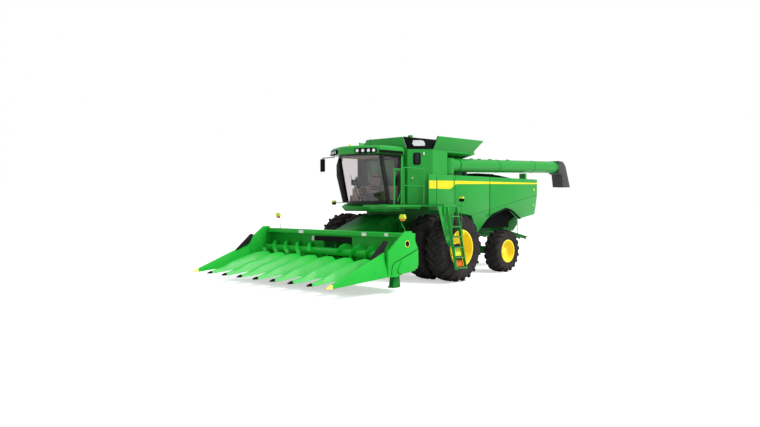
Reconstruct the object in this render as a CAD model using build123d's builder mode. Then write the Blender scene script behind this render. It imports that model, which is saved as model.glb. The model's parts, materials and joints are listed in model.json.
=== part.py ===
from build123d import *
import math
import os

# Combine harvester with an eight-row header, in millimetres.
# +X is forward, +Y is the machine's left, +Z is up, and the ground is at Z = 0.
# Lengths called ahead are measured from the front axle, and are negative behind it.

# Overall places
nose_reach = 5770
spout_reach = 8610
front_axle_x = (spout_reach - nose_reach) / 2
wheelbase = 3550
pin_gap = 0.1
seat_gap = 0.3
joint_gap = 8

# Wheels are many-sided, with a corner straight below the axle
wheel_sides = 20

# Front wheels: twin tyres on one hub
front_radius = 1030
front_width = 690
front_rim_radius = 545
front_lug_height = 48
inner_wheel_y = 1525
outer_wheel_y = 2418
spindle_radius = 90
spindle_tip_y = 1230

# Rear wheels
rear_radius = 742
rear_width = 580
rear_rim_radius = 370
rear_lug_height = 40
rear_wheel_y = 1771
kingpin_y = 1330
kingpin_radius = 38
rear_spindle_radius = 60

# Separator body and its deck
frame_half = 790
frame_floor = 1230
frame_front = 600
frame_rear = -5450
deck_height = 3290
bay_floor = 2700
deck_front = -2190
deck_rear = -5980

# Side panels
panel_skin = 34
shield_front = -1075
shield_split = -2968
shield_rear = -6050
shield_gap = 14
shield_hinge_radius = 14
side_panel_front = 290

# Grain tank
tank_front = 615
tank_rear = -2150
tank_half = 1620
tank_corner = 1060
tank_chamfer_end = 50
tank_floor = 2380
tank_wall = 14
tank_recess_front = -680
flap_skin = 16

# Unloading auger
auger_pivot = -955
auger_radius = 225
auger_tip = -7700
auger_rise = 1.6
turret_radius = 195

# Heights that follow the deck, and widths that follow the tank
shield_top = deck_height + 28
shield_hinge_z = deck_height - 8
auger_pivot_z = deck_height + 360
turret_top = auger_pivot_z - auger_radius - 50
spout_foot_z = auger_pivot_z - 600
tank_recess_z = auger_pivot_z + auger_radius + 55
tank_rim = tank_recess_z + 180
flap_top = tank_rim + 410
panel_plane = tank_half + 40
shield_hinge_y = panel_plane - 64
deck_half = panel_plane - 120
auger_y = tank_half - 220
tank_recess_half = auger_y - 310

# Cab
cab_rear = 720
cab_half = 950
cab_wall = 46
cab_floor = 2380
cab_ceiling = 3925
cab_foot_corner = 1350
cab_foot_nose = 1750
cab_head_corner = 1720
cab_head_nose = 2120
window_sill = 2470
window_head = 3875
window_post = 56
door_post = 64
glass_inset = 16
glass_thickness = 8
door_hinge_x = 862
door_gap = 8
door_rail = 34
door_y = cab_half - 4
door_thickness = 38
hinge_y = cab_half + 14
hinge_radius = 7
door_hinges = (2760, 3560)
roof_crown = 4165

# Platform and ladder
deck_level = 2360
deck_thickness = 60
platform_edge = panel_plane + 270
platform_front = 2480
platform_back = -220
landing_edge = platform_edge + 850
landing_front = 930
landing_back = 330
rail_radius = 17
rail_top = 3460
rail_middle = 2930
ladder_top_ahead = 640
ladder_foot_ahead = 460
ladder_top_y = landing_edge + 55
ladder_foot_y = ladder_top_y + 215
ladder_top_z = 2290
ladder_foot_z = 470
ladder_width = 480
ladder_steps = 6
ladder_hinge_x = 960
ladder_hinge_y = landing_edge + 32
ladder_pin_radius = 16

# Feeder house and its lift
lift_pivot_ahead = 760
lift_pivot_z = 1900
lift_shaft_radius = 55
feeder_half = 660
feeder_front = 2500
ram_foot = (340, 990)
ram_head = (1750, 1050)
ram_y = 732
ram_pin_radius = 25
ram_rod_radius = 32
ram_eye_radius = 36
barrel_bore = 500
barrel_end = 960

# Header
row_spacing = 762
rows = 8
header_back = 2600
header_half = rows * row_spacing / 2 + 82
header_sheet = 30
beam_top = 1585
beam_bottom = 1455
beam_front = 2940
cross_auger_ahead = 3010
cross_auger_z = 960
cross_auger_radius = 270
cross_auger_core = 110
cross_auger_stub = 45
tip_length = 170
end_shield_half = header_half + 75
drive_cover_depth = 40


# Working planes, all laid out from the front axle
def side_plane(y):
    """Upright plane along the machine at Y = y; it extrudes towards the right."""
    return Plane((front_axle_x, y, 0), x_dir=(1, 0, 0), z_dir=(0, -1, 0))


def cross_plane(ahead):
    """Upright plane across the machine; local x runs left and it extrudes forward."""
    return Plane((front_axle_x + ahead, 0, 0), x_dir=(0, 1, 0), z_dir=(1, 0, 0))


def level_plane(z):
    """Level plane at height z, with local x ahead of the front axle."""
    return Plane((front_axle_x, 0, z), x_dir=(1, 0, 0), z_dir=(0, 0, 1))


def outline(plane, points):
    """Closed face through corner points given on a plane."""
    with BuildSketch(plane) as face:
        with BuildLine():
            Polyline(*points, close=True)
        make_face()
    return face.sketch


def side_slab(points, y_left, y_right, mode=Mode.ADD):
    """Side profile of (ahead, z) corners, filled between two Y planes."""
    extrude(outline(side_plane(y_left), points), amount=y_left - y_right, mode=mode)


def cross_slab(points, back, front, mode=Mode.ADD):
    """Cross section of (y, z) corners, filled between two places ahead."""
    extrude(outline(cross_plane(back), points), amount=front - back, mode=mode)


def level_slab(points, low, high, mode=Mode.ADD):
    """Plan outline of (ahead, y) corners, filled between two heights."""
    extrude(outline(level_plane(low), points), amount=high - low, mode=mode)


def block(ahead, y, z, mode=Mode.ADD):
    """Box from three (low, high) pairs."""
    middle = [(low + high) / 2 for low, high in (ahead, y, z)]
    with Locations((front_axle_x + middle[0], middle[1], middle[2])):
        Box(ahead[1] - ahead[0], y[1] - y[0], z[1] - z[0], mode=mode)


def rod(start, end, radius, mode=Mode.ADD):
    """Round bar between two (ahead, y, z) points."""
    first = Vector(front_axle_x + start[0], start[1], start[2])
    last = Vector(front_axle_x + end[0], end[1], end[2])
    with BuildSketch(Plane(first, z_dir=last - first)) as section:
        Circle(radius)
    extrude(section.sketch, amount=(last - first).length, mode=mode)


def bar(points, radius, sides=8):
    """Thin many-sided bar through (ahead, y, z) points, each length run past its corners."""
    for place, (start, end) in enumerate(zip(points, points[1:])):
        first = Vector(front_axle_x + start[0], start[1], start[2])
        last = Vector(front_axle_x + end[0], end[1], end[2])
        past = (last - first).normalized() * radius * 0.9
        if place > 0:
            first = first - past
        if place < len(points) - 2:
            last = last + past
        with BuildSketch(Plane(first, z_dir=last - first)) as section:
            RegularPolygon(radius, sides)
        extrude(section.sketch, amount=(last - first).length)


def flat_face(corners):
    return Face(Wire.make_polygon(corners, close=True))


def panelled(sections):
    """Solid of flat faces between the matching corners of its sections."""
    faces = [flat_face(sections[0]), flat_face(sections[-1])]
    for near, far in zip(sections, sections[1:]):
        for here in range(len(near)):
            after = (here + 1) % len(near)
            faces.append(flat_face([near[here], near[after], far[after], far[here]]))
    return Solid(Shell(faces))


def strip(near, far):
    """Triangles between two closed rings of points, whatever their counts."""
    faces = []
    here = there = 0
    while here < len(near) or there < len(far):
        if there == len(far) or (here < len(near) and (here + 1) / len(near) <= (there + 1) / len(far)):
            third = near[(here + 1) % len(near)]
            faces.append(flat_face([near[here % len(near)], third, far[there % len(far)]]))
            here += 1
        else:
            third = far[(there + 1) % len(far)]
            faces.append(flat_face([near[here % len(near)], third, far[there % len(far)]]))
            there += 1
    return faces


def turned(stations, centre=(0, 0, 0), sides=None):
    """Many-sided solid turned about Y through a closed loop of (y, radius) corners."""
    count = sides or wheel_sides
    angles = [2 * math.pi * side / count - math.pi / 2 for side in range(count + 1)]
    middle = Vector(*centre)
    faces = []
    for (y_here, here), (y_after, after) in zip(stations, stations[1:] + stations[:1]):
        for first, second in zip(angles, angles[1:]):
            corners = [
                middle + Vector(radius * math.cos(angle), y, radius * math.sin(angle))
                for y, radius, angle in (
                    (y_here, here, first),
                    (y_here, here, second),
                    (y_after, after, second),
                    (y_after, after, first),
                )
            ]
            if here == 0 and after == 0:
                continue
            if here == 0:
                corners = corners[1:]
            if after == 0:
                corners = corners[:3]
            faces.append(flat_face(corners))
    return Solid(Shell(faces))


def both_sides():
    """Adds the mirror image across the machine's middle plane."""
    mirror(about=Plane.XZ)


def keep(builder, name):
    builder.part.label = name
    export_step(builder.part, "parts/" + name + ".step")


def keep_pair(builder, name):
    """Writes a left piece and its mirror image on the right."""
    keep(builder, name + "_left")
    with BuildPart() as right:
        mirror(builder.part, about=Plane.XZ)
    keep(right, name + "_right")


os.makedirs("parts", exist_ok=True)


# Wheels: tyres with beads that open towards the flanges of the rims
bead_share = 0.40
flange_offset = 23
flange_thickness = 14
flange_height = 28
barrel_wall = 34
disc = 22


lug_count = 12
lug_share = 0.38
lug_sweep = 0.13


def lug_ring(height, lug_height, phase):
    """Tread ring as (angle, radius): each lug has a flat top and a flat hollow behind it."""
    pitch = 2 * math.pi / lug_count
    corners = ((0, 0), (lug_share, 0), (0.5, lug_height), (0.5 + lug_share, lug_height))
    return [
        (pitch * (lug + place + phase) - math.pi / 2, height - sunk) for lug in range(lug_count) for place, sunk in corners
    ]


def plain_ring(height):
    return [(2 * math.pi * side / wheel_sides - math.pi / 2, height) for side in range(wheel_sides)]


def tyre(radius, width, rim_radius, lug_height, centre):
    """Tyre with lugs that sweep forward from its middle to each shoulder."""
    depth = radius - lug_height - rim_radius
    half = width / 2
    shoulder = radius - 0.10 * depth
    sides = []
    for side, phase in ((-1, -lug_share), (1, 0)):
        sides.append(
            [
                (side * bead_share * width, plain_ring(rim_radius)),
                (side * half, plain_ring(rim_radius + 0.25 * depth)),
                (side * half, plain_ring(radius - lug_height - 0.30 * depth)),
                (side * 0.46 * width, lug_ring(shoulder, lug_height, phase + lug_sweep)),
                (side * 0.28 * width, lug_ring(radius, lug_height, phase)),
            ]
        )
    stations = sides[0] + [(0, plain_ring(radius - lug_height))] + sides[1][::-1]
    rings = [
        [Vector(*centre) + Vector(reach * math.cos(angle), y, reach * math.sin(angle)) for angle, reach in ring]
        for y, ring in stations
    ]
    faces = []
    for near, far in zip(rings, rings[1:] + rings[:1]):
        faces += strip(near, far)
    return Solid(Shell(faces))


def barrel_outside(radius, width, middle):
    """Outline of a rim's barrel with its flanges, as (y, radius) corners."""
    inside = bead_share * width + flange_offset
    outside = inside + flange_thickness
    seat = radius - seat_gap
    flange = radius + flange_height
    return [
        (middle - outside, flange),
        (middle - inside, seat),
        (middle + inside, seat),
        (middle + outside, flange),
        (middle + outside, radius - barrel_wall),
    ]


with BuildPart() as front_tyres:
    for wheel_y in (inner_wheel_y, outer_wheel_y):
        add(tyre(front_radius, front_width, front_rim_radius, front_lug_height, (front_axle_x, wheel_y, front_radius)))
keep_pair(front_tyres, "front_tyres")

# Front rims: two barrels, their discs, and the drum between them, in one turned outline
hub_inner = 1150
hub_radius = 280
drum_radius = 235
cap_radius = 175
inner_disc_y = inner_wheel_y - 180
outer_disc_y = outer_wheel_y - 90
dish_depth = 70
hub_cap_y = outer_wheel_y + 60
front_bore = front_rim_radius - barrel_wall
front_rim_edge = bead_share * front_width + flange_offset + flange_thickness
with BuildPart() as front_rims:
    add(
        turned(
            barrel_outside(front_rim_radius, front_width, inner_wheel_y)
            + [
                (inner_disc_y + disc, front_bore),
                (inner_disc_y + disc, drum_radius),
                (outer_disc_y, drum_radius),
                (outer_disc_y + dish_depth, front_bore),
                (outer_wheel_y - front_rim_edge, front_bore),
            ]
            + barrel_outside(front_rim_radius, front_width, outer_wheel_y)
            + [
                (outer_disc_y + dish_depth + disc, front_bore),
                (outer_disc_y + disc, hub_radius),
                (outer_disc_y + disc, cap_radius),
                (hub_cap_y, cap_radius),
                (hub_cap_y, 0),
                (hub_inner, 0),
                (hub_inner, hub_radius),
                (inner_disc_y, hub_radius),
                (inner_disc_y, front_bore),
                (inner_wheel_y - front_rim_edge, front_bore),
            ],
            (front_axle_x, 0, front_radius),
        )
    )
    rod(
        (0, hub_inner - 1, front_radius),
        (0, spindle_tip_y + 12, front_radius),
        spindle_radius + pin_gap,
        mode=Mode.SUBTRACT,
    )
keep_pair(front_rims, "front_rims")

# Rear wheels
rear_hub_inner = 1560
rear_hub_radius = 160
rear_cap_radius = 130
rear_disc_y = rear_wheel_y - 5
rear_spindle_tip = rear_wheel_y + 60
rear_cap_y = rear_wheel_y + 125
rear_bore = rear_rim_radius - barrel_wall
rear_rim_edge = bead_share * rear_width + flange_offset + flange_thickness
with BuildPart() as rear_tyre:
    add(
        tyre(
            rear_radius, rear_width, rear_rim_radius, rear_lug_height, (front_axle_x - wheelbase, rear_wheel_y, rear_radius)
        )
    )
keep_pair(rear_tyre, "rear_tyre")
with BuildPart() as rear_rim:
    add(
        turned(
            barrel_outside(rear_rim_radius, rear_width, rear_wheel_y)
            + [
                (rear_disc_y + dish_depth + disc, rear_bore),
                (rear_disc_y + disc, rear_hub_radius),
                (rear_disc_y + disc, rear_cap_radius),
                (rear_cap_y, rear_cap_radius),
                (rear_cap_y, 0),
                (rear_hub_inner, 0),
                (rear_hub_inner, rear_hub_radius),
                (rear_disc_y, rear_hub_radius),
                (rear_disc_y + dish_depth, rear_bore),
                (rear_wheel_y - rear_rim_edge, rear_bore),
            ],
            (front_axle_x - wheelbase, 0, rear_radius),
        )
    )
    rod(
        (-wheelbase, rear_hub_inner - 1, rear_radius),
        (-wheelbase, rear_spindle_tip + 12, rear_radius),
        rear_spindle_radius + pin_gap,
        mode=Mode.SUBTRACT,
    )
keep_pair(rear_rim, "rear_rim")

# Knuckles: sleeve with kingpins, spindle and steering arm
knuckle_half = 105
yoke_thickness = 44
yoke_reach = kingpin_y + 78
with BuildPart() as knuckle:
    low = rear_radius - knuckle_half
    high = rear_radius + knuckle_half
    bar([(-wheelbase, kingpin_y, low), (-wheelbase, kingpin_y, high)], 72, 10)
    bar(
        [(-wheelbase, kingpin_y, low - yoke_thickness), (-wheelbase, kingpin_y, high + yoke_thickness)],
        kingpin_radius,
        12,
    )
    bar([(-wheelbase, kingpin_y, rear_radius), (-wheelbase, rear_spindle_tip, rear_radius)], rear_spindle_radius, 12)
    block((-wheelbase - 330, -wheelbase - 40), (kingpin_y - 60, kingpin_y - 4), (low + 20, low + 64))
keep_pair(knuckle, "steering_knuckle")

# Rear axle: box beam with a yoke at each end, hung from its rocking pin
with BuildPart() as rear_axle:
    low = rear_radius - knuckle_half - 1
    high = rear_radius + knuckle_half + 1
    block((-wheelbase - 110, -wheelbase + 110), (-kingpin_y + 165, kingpin_y - 165), (low - 20, high + 20))
    for z_low in (low - yoke_thickness, high):
        block(
            (-wheelbase - 75, -wheelbase + 75),
            (kingpin_y - 200, yoke_reach),
            (z_low, z_low + yoke_thickness),
        )
        rod(
            (-wheelbase, kingpin_y, z_low - 1),
            (-wheelbase, kingpin_y, z_low + yoke_thickness + 1),
            kingpin_radius + pin_gap,
            mode=Mode.SUBTRACT,
        )
    both_sides()
    side_slab(
        [
            (-wheelbase - 150, high + 20),
            (-wheelbase + 150, high + 20),
            (-wheelbase + 100, frame_floor + 120),
            (-wheelbase - 100, frame_floor + 120),
        ],
        110,
        -110,
    )
    bar([(-wheelbase - 190, -560, rear_radius), (-wheelbase - 190, 560, rear_radius)], 42)
    block((-wheelbase - 200, -wheelbase - 105), (-300, -240), (rear_radius - 40, rear_radius + 40))
    block((-wheelbase - 200, -wheelbase - 105), (240, 300), (rear_radius - 40, rear_radius + 40))
    bar([(-wheelbase - 190, -1180, rear_radius), (-wheelbase - 190, 1180, rear_radius)], 20, 6)
keep(rear_axle, "rear_axle")

# Front axle: beam, final drives and spindles
with BuildPart() as front_axle:
    block((-150, 150), (-860, 860), (front_radius - 170, frame_floor - seat_gap))
    bar([(0, frame_half + 6, front_radius), (0, hub_inner - 12, front_radius)], 300, 16)
    bar([(0, frame_half + 6, front_radius), (0, spindle_tip_y, front_radius)], spindle_radius, 16)
    for y in (ram_y - 64, ram_y + 34):
        side_slab(
            [(100, front_radius - 160), (ram_foot[0], ram_foot[1] - 50), (ram_foot[0] + 50, ram_foot[1]),
             (ram_foot[0], ram_foot[1] + 50), (100, front_radius + 160)],
            y + 30,
            y,
        )
    bar([(ram_foot[0], ram_y - 60, ram_foot[1]), (ram_foot[0], ram_y + 60, ram_foot[1])], ram_pin_radius, 12)
    both_sides()
keep(front_axle, "front_axle")

# Separator body
with BuildPart() as main_frame:
    side_slab(
        [
            (frame_front, frame_floor),
            (frame_front, tank_floor - 60),
            (420, tank_floor - seat_gap),
            (-2600, tank_floor - seat_gap),
            (-2600, bay_floor),
            (-4950, bay_floor),
            (frame_rear, 2300),
            (frame_rear, 2000),
            (-4480, 1560),
            (-4150, frame_floor + 120 + seat_gap),
            (-2950, frame_floor + 120 + seat_gap),
            (-2500, 900),
            (-900, 900),
            (-420, frame_floor),
        ],
        frame_half,
        -frame_half,
    )
    lift_points = [
        (frame_front, lift_pivot_z - 130),
        (lift_pivot_ahead, lift_pivot_z - 100),
        (lift_pivot_ahead + 95, lift_pivot_z),
        (lift_pivot_ahead, lift_pivot_z + 100),
        (frame_front, lift_pivot_z + 130),
    ]
    for ear in (feeder_half + joint_gap, -feeder_half - joint_gap - 60):
        side_slab(lift_points, ear + 60, ear)
    rod(
        (lift_pivot_ahead, -frame_half - 10, lift_pivot_z),
        (lift_pivot_ahead, frame_half + 10, lift_pivot_z),
        lift_shaft_radius + pin_gap,
        mode=Mode.SUBTRACT,
    )
keep(main_frame, "main_frame")

# Engine, closed in under the deck
with BuildPart() as engine:
    block((-4350, -2950), (-520, 520), (bay_floor + seat_gap, deck_height - 60 - seat_gap))
keep(engine, "engine_block")

# Deck behind the tank, with the screen housing, exhaust and auger rest
screen_rise = 470
exhaust_rise = 670
hood_rise = 190
with BuildPart() as engine_deck:
    block((deck_rear, deck_front), (-deck_half, deck_half), (deck_height - 60, deck_height))
    block((-4950, -4650), (-deck_half, -deck_half + 60), (bay_floor + seat_gap, deck_height - 60))
    block((-4950, -4650), (deck_half - 60, deck_half), (bay_floor + seat_gap, deck_height - 60))
    block((-4950, -4650), (-deck_half, deck_half), (bay_floor + seat_gap, bay_floor + 60))
    side_slab(
        [
            (-2450, deck_height),
            (-2450, deck_height + 350),
            (-2700, deck_height + screen_rise),
            (-4050, deck_height + screen_rise),
            (-4250, deck_height),
        ],
        -500,
        -1480,
    )
    bar([(-2900, 620, deck_height), (-2900, 620, deck_height + exhaust_rise)], 85, 12)
    block((-4300, -3300), (120, 900), (deck_height, deck_height + hood_rise))
    rest_height = auger_pivot_z + math.tan(math.radians(auger_rise)) * (5500 + auger_pivot) - auger_radius
    cradle = [
        (auger_y - 150, deck_height),
        (auger_y + 120, deck_height),
        (auger_y + 120, rest_height - 30),
        (auger_y - 150, rest_height - 30),
    ]
    cross_slab(cradle, -5540, -5460)
    side_slab(
        [(deck_rear, deck_height), (-5760, 2050), (-5720, 2050), (deck_rear + 40, deck_height)],
        1500,
        -1500,
    )
    block((-5750, frame_rear - seat_gap), (-700, 700), (2060, 2110))
keep(engine_deck, "engine_deck")

# Grain tank: wide front with chamfered corners, narrow behind where the auger lies
def tank_front_plan(inset):
    corner_shift = inset * math.tan(math.radians(22.5))
    return [
        (tank_front - inset, -tank_corner + corner_shift),
        (tank_front - inset, tank_corner - corner_shift),
        (tank_chamfer_end - corner_shift, tank_half - inset),
        (tank_recess_front + inset, tank_half - inset),
        (tank_recess_front + inset, -tank_half + inset),
        (tank_chamfer_end - corner_shift, -tank_half + inset),
    ]


def tank_rear_section(inset):
    return [
        (-tank_recess_half + inset, bay_floor + inset),
        (tank_recess_half - inset, bay_floor + inset),
        (tank_recess_half - inset, tank_recess_z + 0.3 * inset),
        (tank_half - inset, tank_rim - 60 + 0.3 * inset),
        (tank_half - inset, tank_rim),
        (-tank_half + inset, tank_rim),
        (-tank_half + inset, tank_rim - 60 + 0.3 * inset),
        (-tank_recess_half + inset, tank_recess_z + 0.3 * inset),
    ]


with BuildPart() as grain_tank:
    level_slab(tank_front_plan(0), tank_floor, tank_rim)
    cross_slab(tank_rear_section(0), tank_rear, tank_recess_front + tank_wall)
    level_slab(tank_front_plan(tank_wall), 3100, tank_rim, mode=Mode.SUBTRACT)
    cross_slab(
        tank_rear_section(tank_wall),
        tank_rear + tank_wall,
        tank_recess_front + 2 * tank_wall,
        mode=Mode.SUBTRACT,
    )
    block((tank_rear, -1500), (-900, 900), (tank_floor, bay_floor))
keep(grain_tank, "grain_tank")


# Raised extension: flaring flaps with black panels across the front corners
flap_lean = 160


def flap_corners(z_share):
    """Plan corners of the extension at a share of its height."""
    lean = flap_lean * z_share
    return {
        "front": tank_front - 8 - 60 * z_share,
        "front_half": tank_corner - 20 - 230 * z_share,
        "side": tank_half - 8 + lean,
        "side_front": tank_chamfer_end - 60 * z_share,
        "side_rear": -2040 - 400 * z_share,
    }


def lean_plate(low_line, high_line):
    """Plate from a line on the tank's rim up to a line along its own top."""
    run = Vector(low_line[1][0] - low_line[0][0], low_line[1][1] - low_line[0][1], 0)
    climb = Vector(high_line[0][0] - low_line[0][0], high_line[0][1] - low_line[0][1], flap_top - tank_rim)
    normal = run.cross(climb).normalized()
    low = [Vector(front_axle_x + a, y, tank_rim) for a, y in low_line]
    high = [Vector(front_axle_x + a, y, flap_top) for a, y in high_line]
    corners = [start + (start - end) * 0.1 for start, end in zip(low, high)] + high[::-1]
    plane = Plane(corners[0], x_dir=corners[1] - corners[0], z_dir=normal)
    local = [plane.to_local_coords(corner) for corner in corners]
    with BuildSketch(plane) as plate:
        with BuildLine():
            Polyline(*[(point.X, point.Y) for point in local], close=True)
        make_face()
    return plate.sketch


foot = flap_corners(0)
head = flap_corners(1)
flap_slit = 12
with BuildPart() as tank_flaps:
    extrude(
        lean_plate(
            [(foot["front"], -foot["front_half"] + flap_slit), (foot["front"], foot["front_half"] - flap_slit)],
            [(head["front"], -head["front_half"] + flap_slit), (head["front"], head["front_half"] - flap_slit)],
        ),
        amount=flap_skin,
    )
    extrude(
        lean_plate(
            [(foot["side_front"] - flap_slit, foot["side"]), (foot["side_rear"], foot["side"])],
            [(head["side_front"] - flap_slit, head["side"]), (head["side_rear"], head["side"])],
        ),
        amount=flap_skin,
    )
    extrude(
        lean_plate(
            [(foot["side_rear"], -foot["side"]), (foot["side_front"] - flap_slit, -foot["side"])],
            [(head["side_rear"], -head["side"]), (head["side_front"] - flap_slit, -head["side"])],
        ),
        amount=flap_skin,
    )
    extrude(
        lean_plate(
            [(tank_rear + 2, foot["side"] - 60), (tank_rear + 2, -foot["side"] + 60)],
            [(head["side_rear"] + 60, head["side"] - 60), (head["side_rear"] + 60, -head["side"] + 60)],
        ),
        amount=flap_skin,
    )
    split(bisect_by=level_plane(tank_rim + seat_gap), keep=Keep.TOP)
keep(tank_flaps, "tank_flaps")

with BuildPart() as corner_panels:
    extrude(
        lean_plate(
            [(foot["front"] - 8, foot["front_half"] + flap_slit), (foot["side_front"] + 8, foot["side"] - 8)],
            [(head["front"] - 8, head["front_half"] + flap_slit), (head["side_front"] + 8, head["side"] - 8)],
        ),
        amount=flap_skin,
    )
    split(bisect_by=level_plane(tank_rim + seat_gap), keep=Keep.TOP)
    both_sides()
keep(corner_panels, "tank_corner_panels")

# Fixed side panels below the tank, in line with the shields
with BuildPart() as side_panels:
    side_slab(
        [
            (side_panel_front, 2180),
            (side_panel_front, shield_top),
            (shield_front + shield_gap, shield_top),
            (shield_front + shield_gap, 2120),
            (-500, 2180),
        ],
        panel_plane,
        tank_half + seat_gap,
    )
    both_sides()
keep(side_panels, "front_side_panels")


# Side shields: a skin with a slanting crease, hung on a rail
crease_front = (-1830, 1990)
crease_rear = (shield_rear, shield_top - 598)
crease_tuck = 0.14


def crease_plane(y_shift):
    start = Vector(front_axle_x + crease_front[0], panel_plane + y_shift, crease_front[1])
    along = Vector(crease_rear[0] - crease_front[0], 0, crease_rear[1] - crease_front[1])
    inward = Vector(0, crease_tuck, 1)
    normal = inward.cross(along)
    return Plane(start, x_dir=along, z_dir=normal)


def shield_skin(points, hinge_places):
    with BuildPart() as body:
        side_slab(points, panel_plane, panel_plane - 330)
        split(bisect_by=crease_plane(0), keep=Keep.TOP)
    with BuildPart() as shield:
        add(body.part)
        add(body.part.moved(Location((0, -panel_skin, 0))), mode=Mode.SUBTRACT)
        for place in hinge_places:
            block(
                (place - 40, place + 40),
                (shield_hinge_y - 10, panel_plane - panel_skin),
                (shield_hinge_z - 30, shield_hinge_z + 30),
            )
            bar([(place - 40, shield_hinge_y, shield_hinge_z), (place + 40, shield_hinge_y, shield_hinge_z)], 30)
            rod(
                (place - 41, shield_hinge_y, shield_hinge_z),
                (place + 41, shield_hinge_y, shield_hinge_z),
                shield_hinge_radius + pin_gap,
                mode=Mode.SUBTRACT,
            )
    return shield


front_shield = shield_skin(
    [
        (shield_front, shield_top),
        (shield_split + shield_gap / 2, shield_top - 2),
        (shield_split + shield_gap / 2, 1900),
        (-2910, 1880),
        (-2400, 1420),
        (-1940, 2000),
        (shield_front, 2110),
    ],
    (-1300, -2780),
)
keep_pair(front_shield, "side_shield_front")
rear_shield = shield_skin(
    [
        (shield_split - shield_gap / 2, shield_top - 2),
        (shield_rear, shield_top - 18),
        (shield_rear, 1990),
        (-4980, 1830),
        (-4880, 1840),
        (-4130, 2210),
        (shield_split - shield_gap / 2, 1905),
    ],
    (-3200, -5800),
)
keep_pair(rear_shield, "side_shield_rear")

# Rail that the shields hang on, with its brackets
with BuildPart() as shield_rails:
    bar([(-1190, shield_hinge_y, shield_hinge_z), (-5920, shield_hinge_y, shield_hinge_z)], shield_hinge_radius)
    for place in (-2250, -3000, -4500, -5500):
        block((place - 20, place + 20), (deck_half + 1, shield_hinge_y), (shield_hinge_z - 12, shield_hinge_z + 12))
    block(
        (deck_front + seat_gap, -1200),
        (tank_recess_half + seat_gap, shield_hinge_y - 40),
        (shield_hinge_z - 30, shield_hinge_z + 10),
    )
    block((-1240, -1200), (shield_hinge_y - 60, shield_hinge_y), (shield_hinge_z - 12, shield_hinge_z + 12))
    both_sides()
keep(shield_rails, "shield_rails")

# Straw chopper and its tailboard
chopper_rear = -5180
chopper_floor = 1380
tailboard_start = -5150
tailboard_end = -6440
tailboard_fall = 270
with BuildPart() as chopper:
    side_slab(
        [(-4500, 1568), (-4560, chopper_floor), (chopper_rear, chopper_floor), (-5440, 1600), (-5440, 1994)],
        1180,
        -1180,
    )
keep(chopper, "chopper_housing")

with BuildPart() as tailboard:
    top = chopper_floor - seat_gap
    end_top = top - tailboard_fall
    side_slab(
        [(tailboard_start, top - 30), (tailboard_start, top), (tailboard_end, end_top), (tailboard_end, end_top - 30)],
        1050,
        -1050,
    )
    for vane in range(8):
        vane_y = -945 + 270 * vane
        side_slab(
            [
                (tailboard_start - 250, top - 70),
                (tailboard_end, end_top - 25),
                (tailboard_end, end_top - 110),
                (tailboard_start - 350, top - 190),
            ],
            vane_y + 6,
            vane_y - 6,
        )
    for side in (1, -1):
        bar([(-5740, side * 1000, 1240), (-5740, side * 1000, 2050 - seat_gap)], 14)
keep(tailboard, "tailboard")


# Cab: one lofted shell, hollow, with its windows cut
def cab_section(z, corner, nose, inset):
    with BuildSketch(level_plane(z)) as section:
        with BuildLine():
            Polyline(
                (cab_rear + inset, cab_half - inset),
                (cab_rear + inset, -cab_half + inset),
                (corner - inset, -cab_half + inset),
                (nose - 0.36 * (nose - corner) - inset, -0.62 * cab_half),
                (nose - 0.08 * (nose - corner) - inset, -0.29 * cab_half),
                (nose - 0.08 * (nose - corner) - inset, 0.29 * cab_half),
                (nose - 0.36 * (nose - corner) - inset, 0.62 * cab_half),
                (corner - inset, cab_half - inset),
                close=True,
            )
        make_face()
    return section.sketch


def cab_volume(inset, low, high):
    """Cab body between two heights; its front leans forward as it rises."""
    rise = cab_ceiling - cab_floor

    def at(z, foot_value, head_value):
        return foot_value + (head_value - foot_value) * (z - cab_floor) / rise

    with BuildPart() as volume:
        loft(
            [
                cab_section(z, at(z, cab_foot_corner, cab_head_corner), at(z, cab_foot_nose, cab_head_nose), inset)
                for z in (low, high)
            ],
            ruled=True,
        )
    return volume.part


def door_outline(inset):
    """Side opening of the cab, with its front edge along the leaning post."""
    lean = (cab_head_corner - cab_foot_corner) / (cab_ceiling - cab_floor)
    low = window_sill + inset
    high = window_head - inset
    front_low = cab_foot_corner + lean * (low - cab_floor) - door_post - inset
    front_high = cab_foot_corner + lean * (high - cab_floor) - door_post - inset
    return [(door_hinge_x + inset, low), (front_low, low), (front_high, high), (door_hinge_x + inset, high)]


rear_window = [(-620, 2950), (620, 2950), (620, 3800), (-620, 3800)]
screen_half = cab_half - window_post
cab_outer = cab_volume(0, cab_floor, cab_ceiling)
cab_inner = cab_volume(cab_wall, cab_floor + 60, cab_ceiling - 40)
with BuildPart() as cab_frame:
    add(cab_outer)
    add(cab_inner, mode=Mode.SUBTRACT)
    block((1120, 2400), (-screen_half, screen_half), (window_sill, window_head), mode=Mode.SUBTRACT)
    side_slab(door_outline(0), cab_half + 20, cab_half - cab_wall - 20, mode=Mode.SUBTRACT)
    side_slab(door_outline(0), -cab_half + cab_wall + 20, -cab_half - 20, mode=Mode.SUBTRACT)
    cross_slab(rear_window, cab_rear - 10, cab_rear + cab_wall + 10, mode=Mode.SUBTRACT)
    for z in door_hinges:
        bar([(door_hinge_x, hinge_y, z - 75), (door_hinge_x, hinge_y, z + 75)], hinge_radius)
        for end in (z - 75, z + 55):
            block((door_hinge_x - 60, door_hinge_x + 10), (cab_half, hinge_y + 8), (end, end + 20))
keep(cab_frame, "cab_frame")

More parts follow.
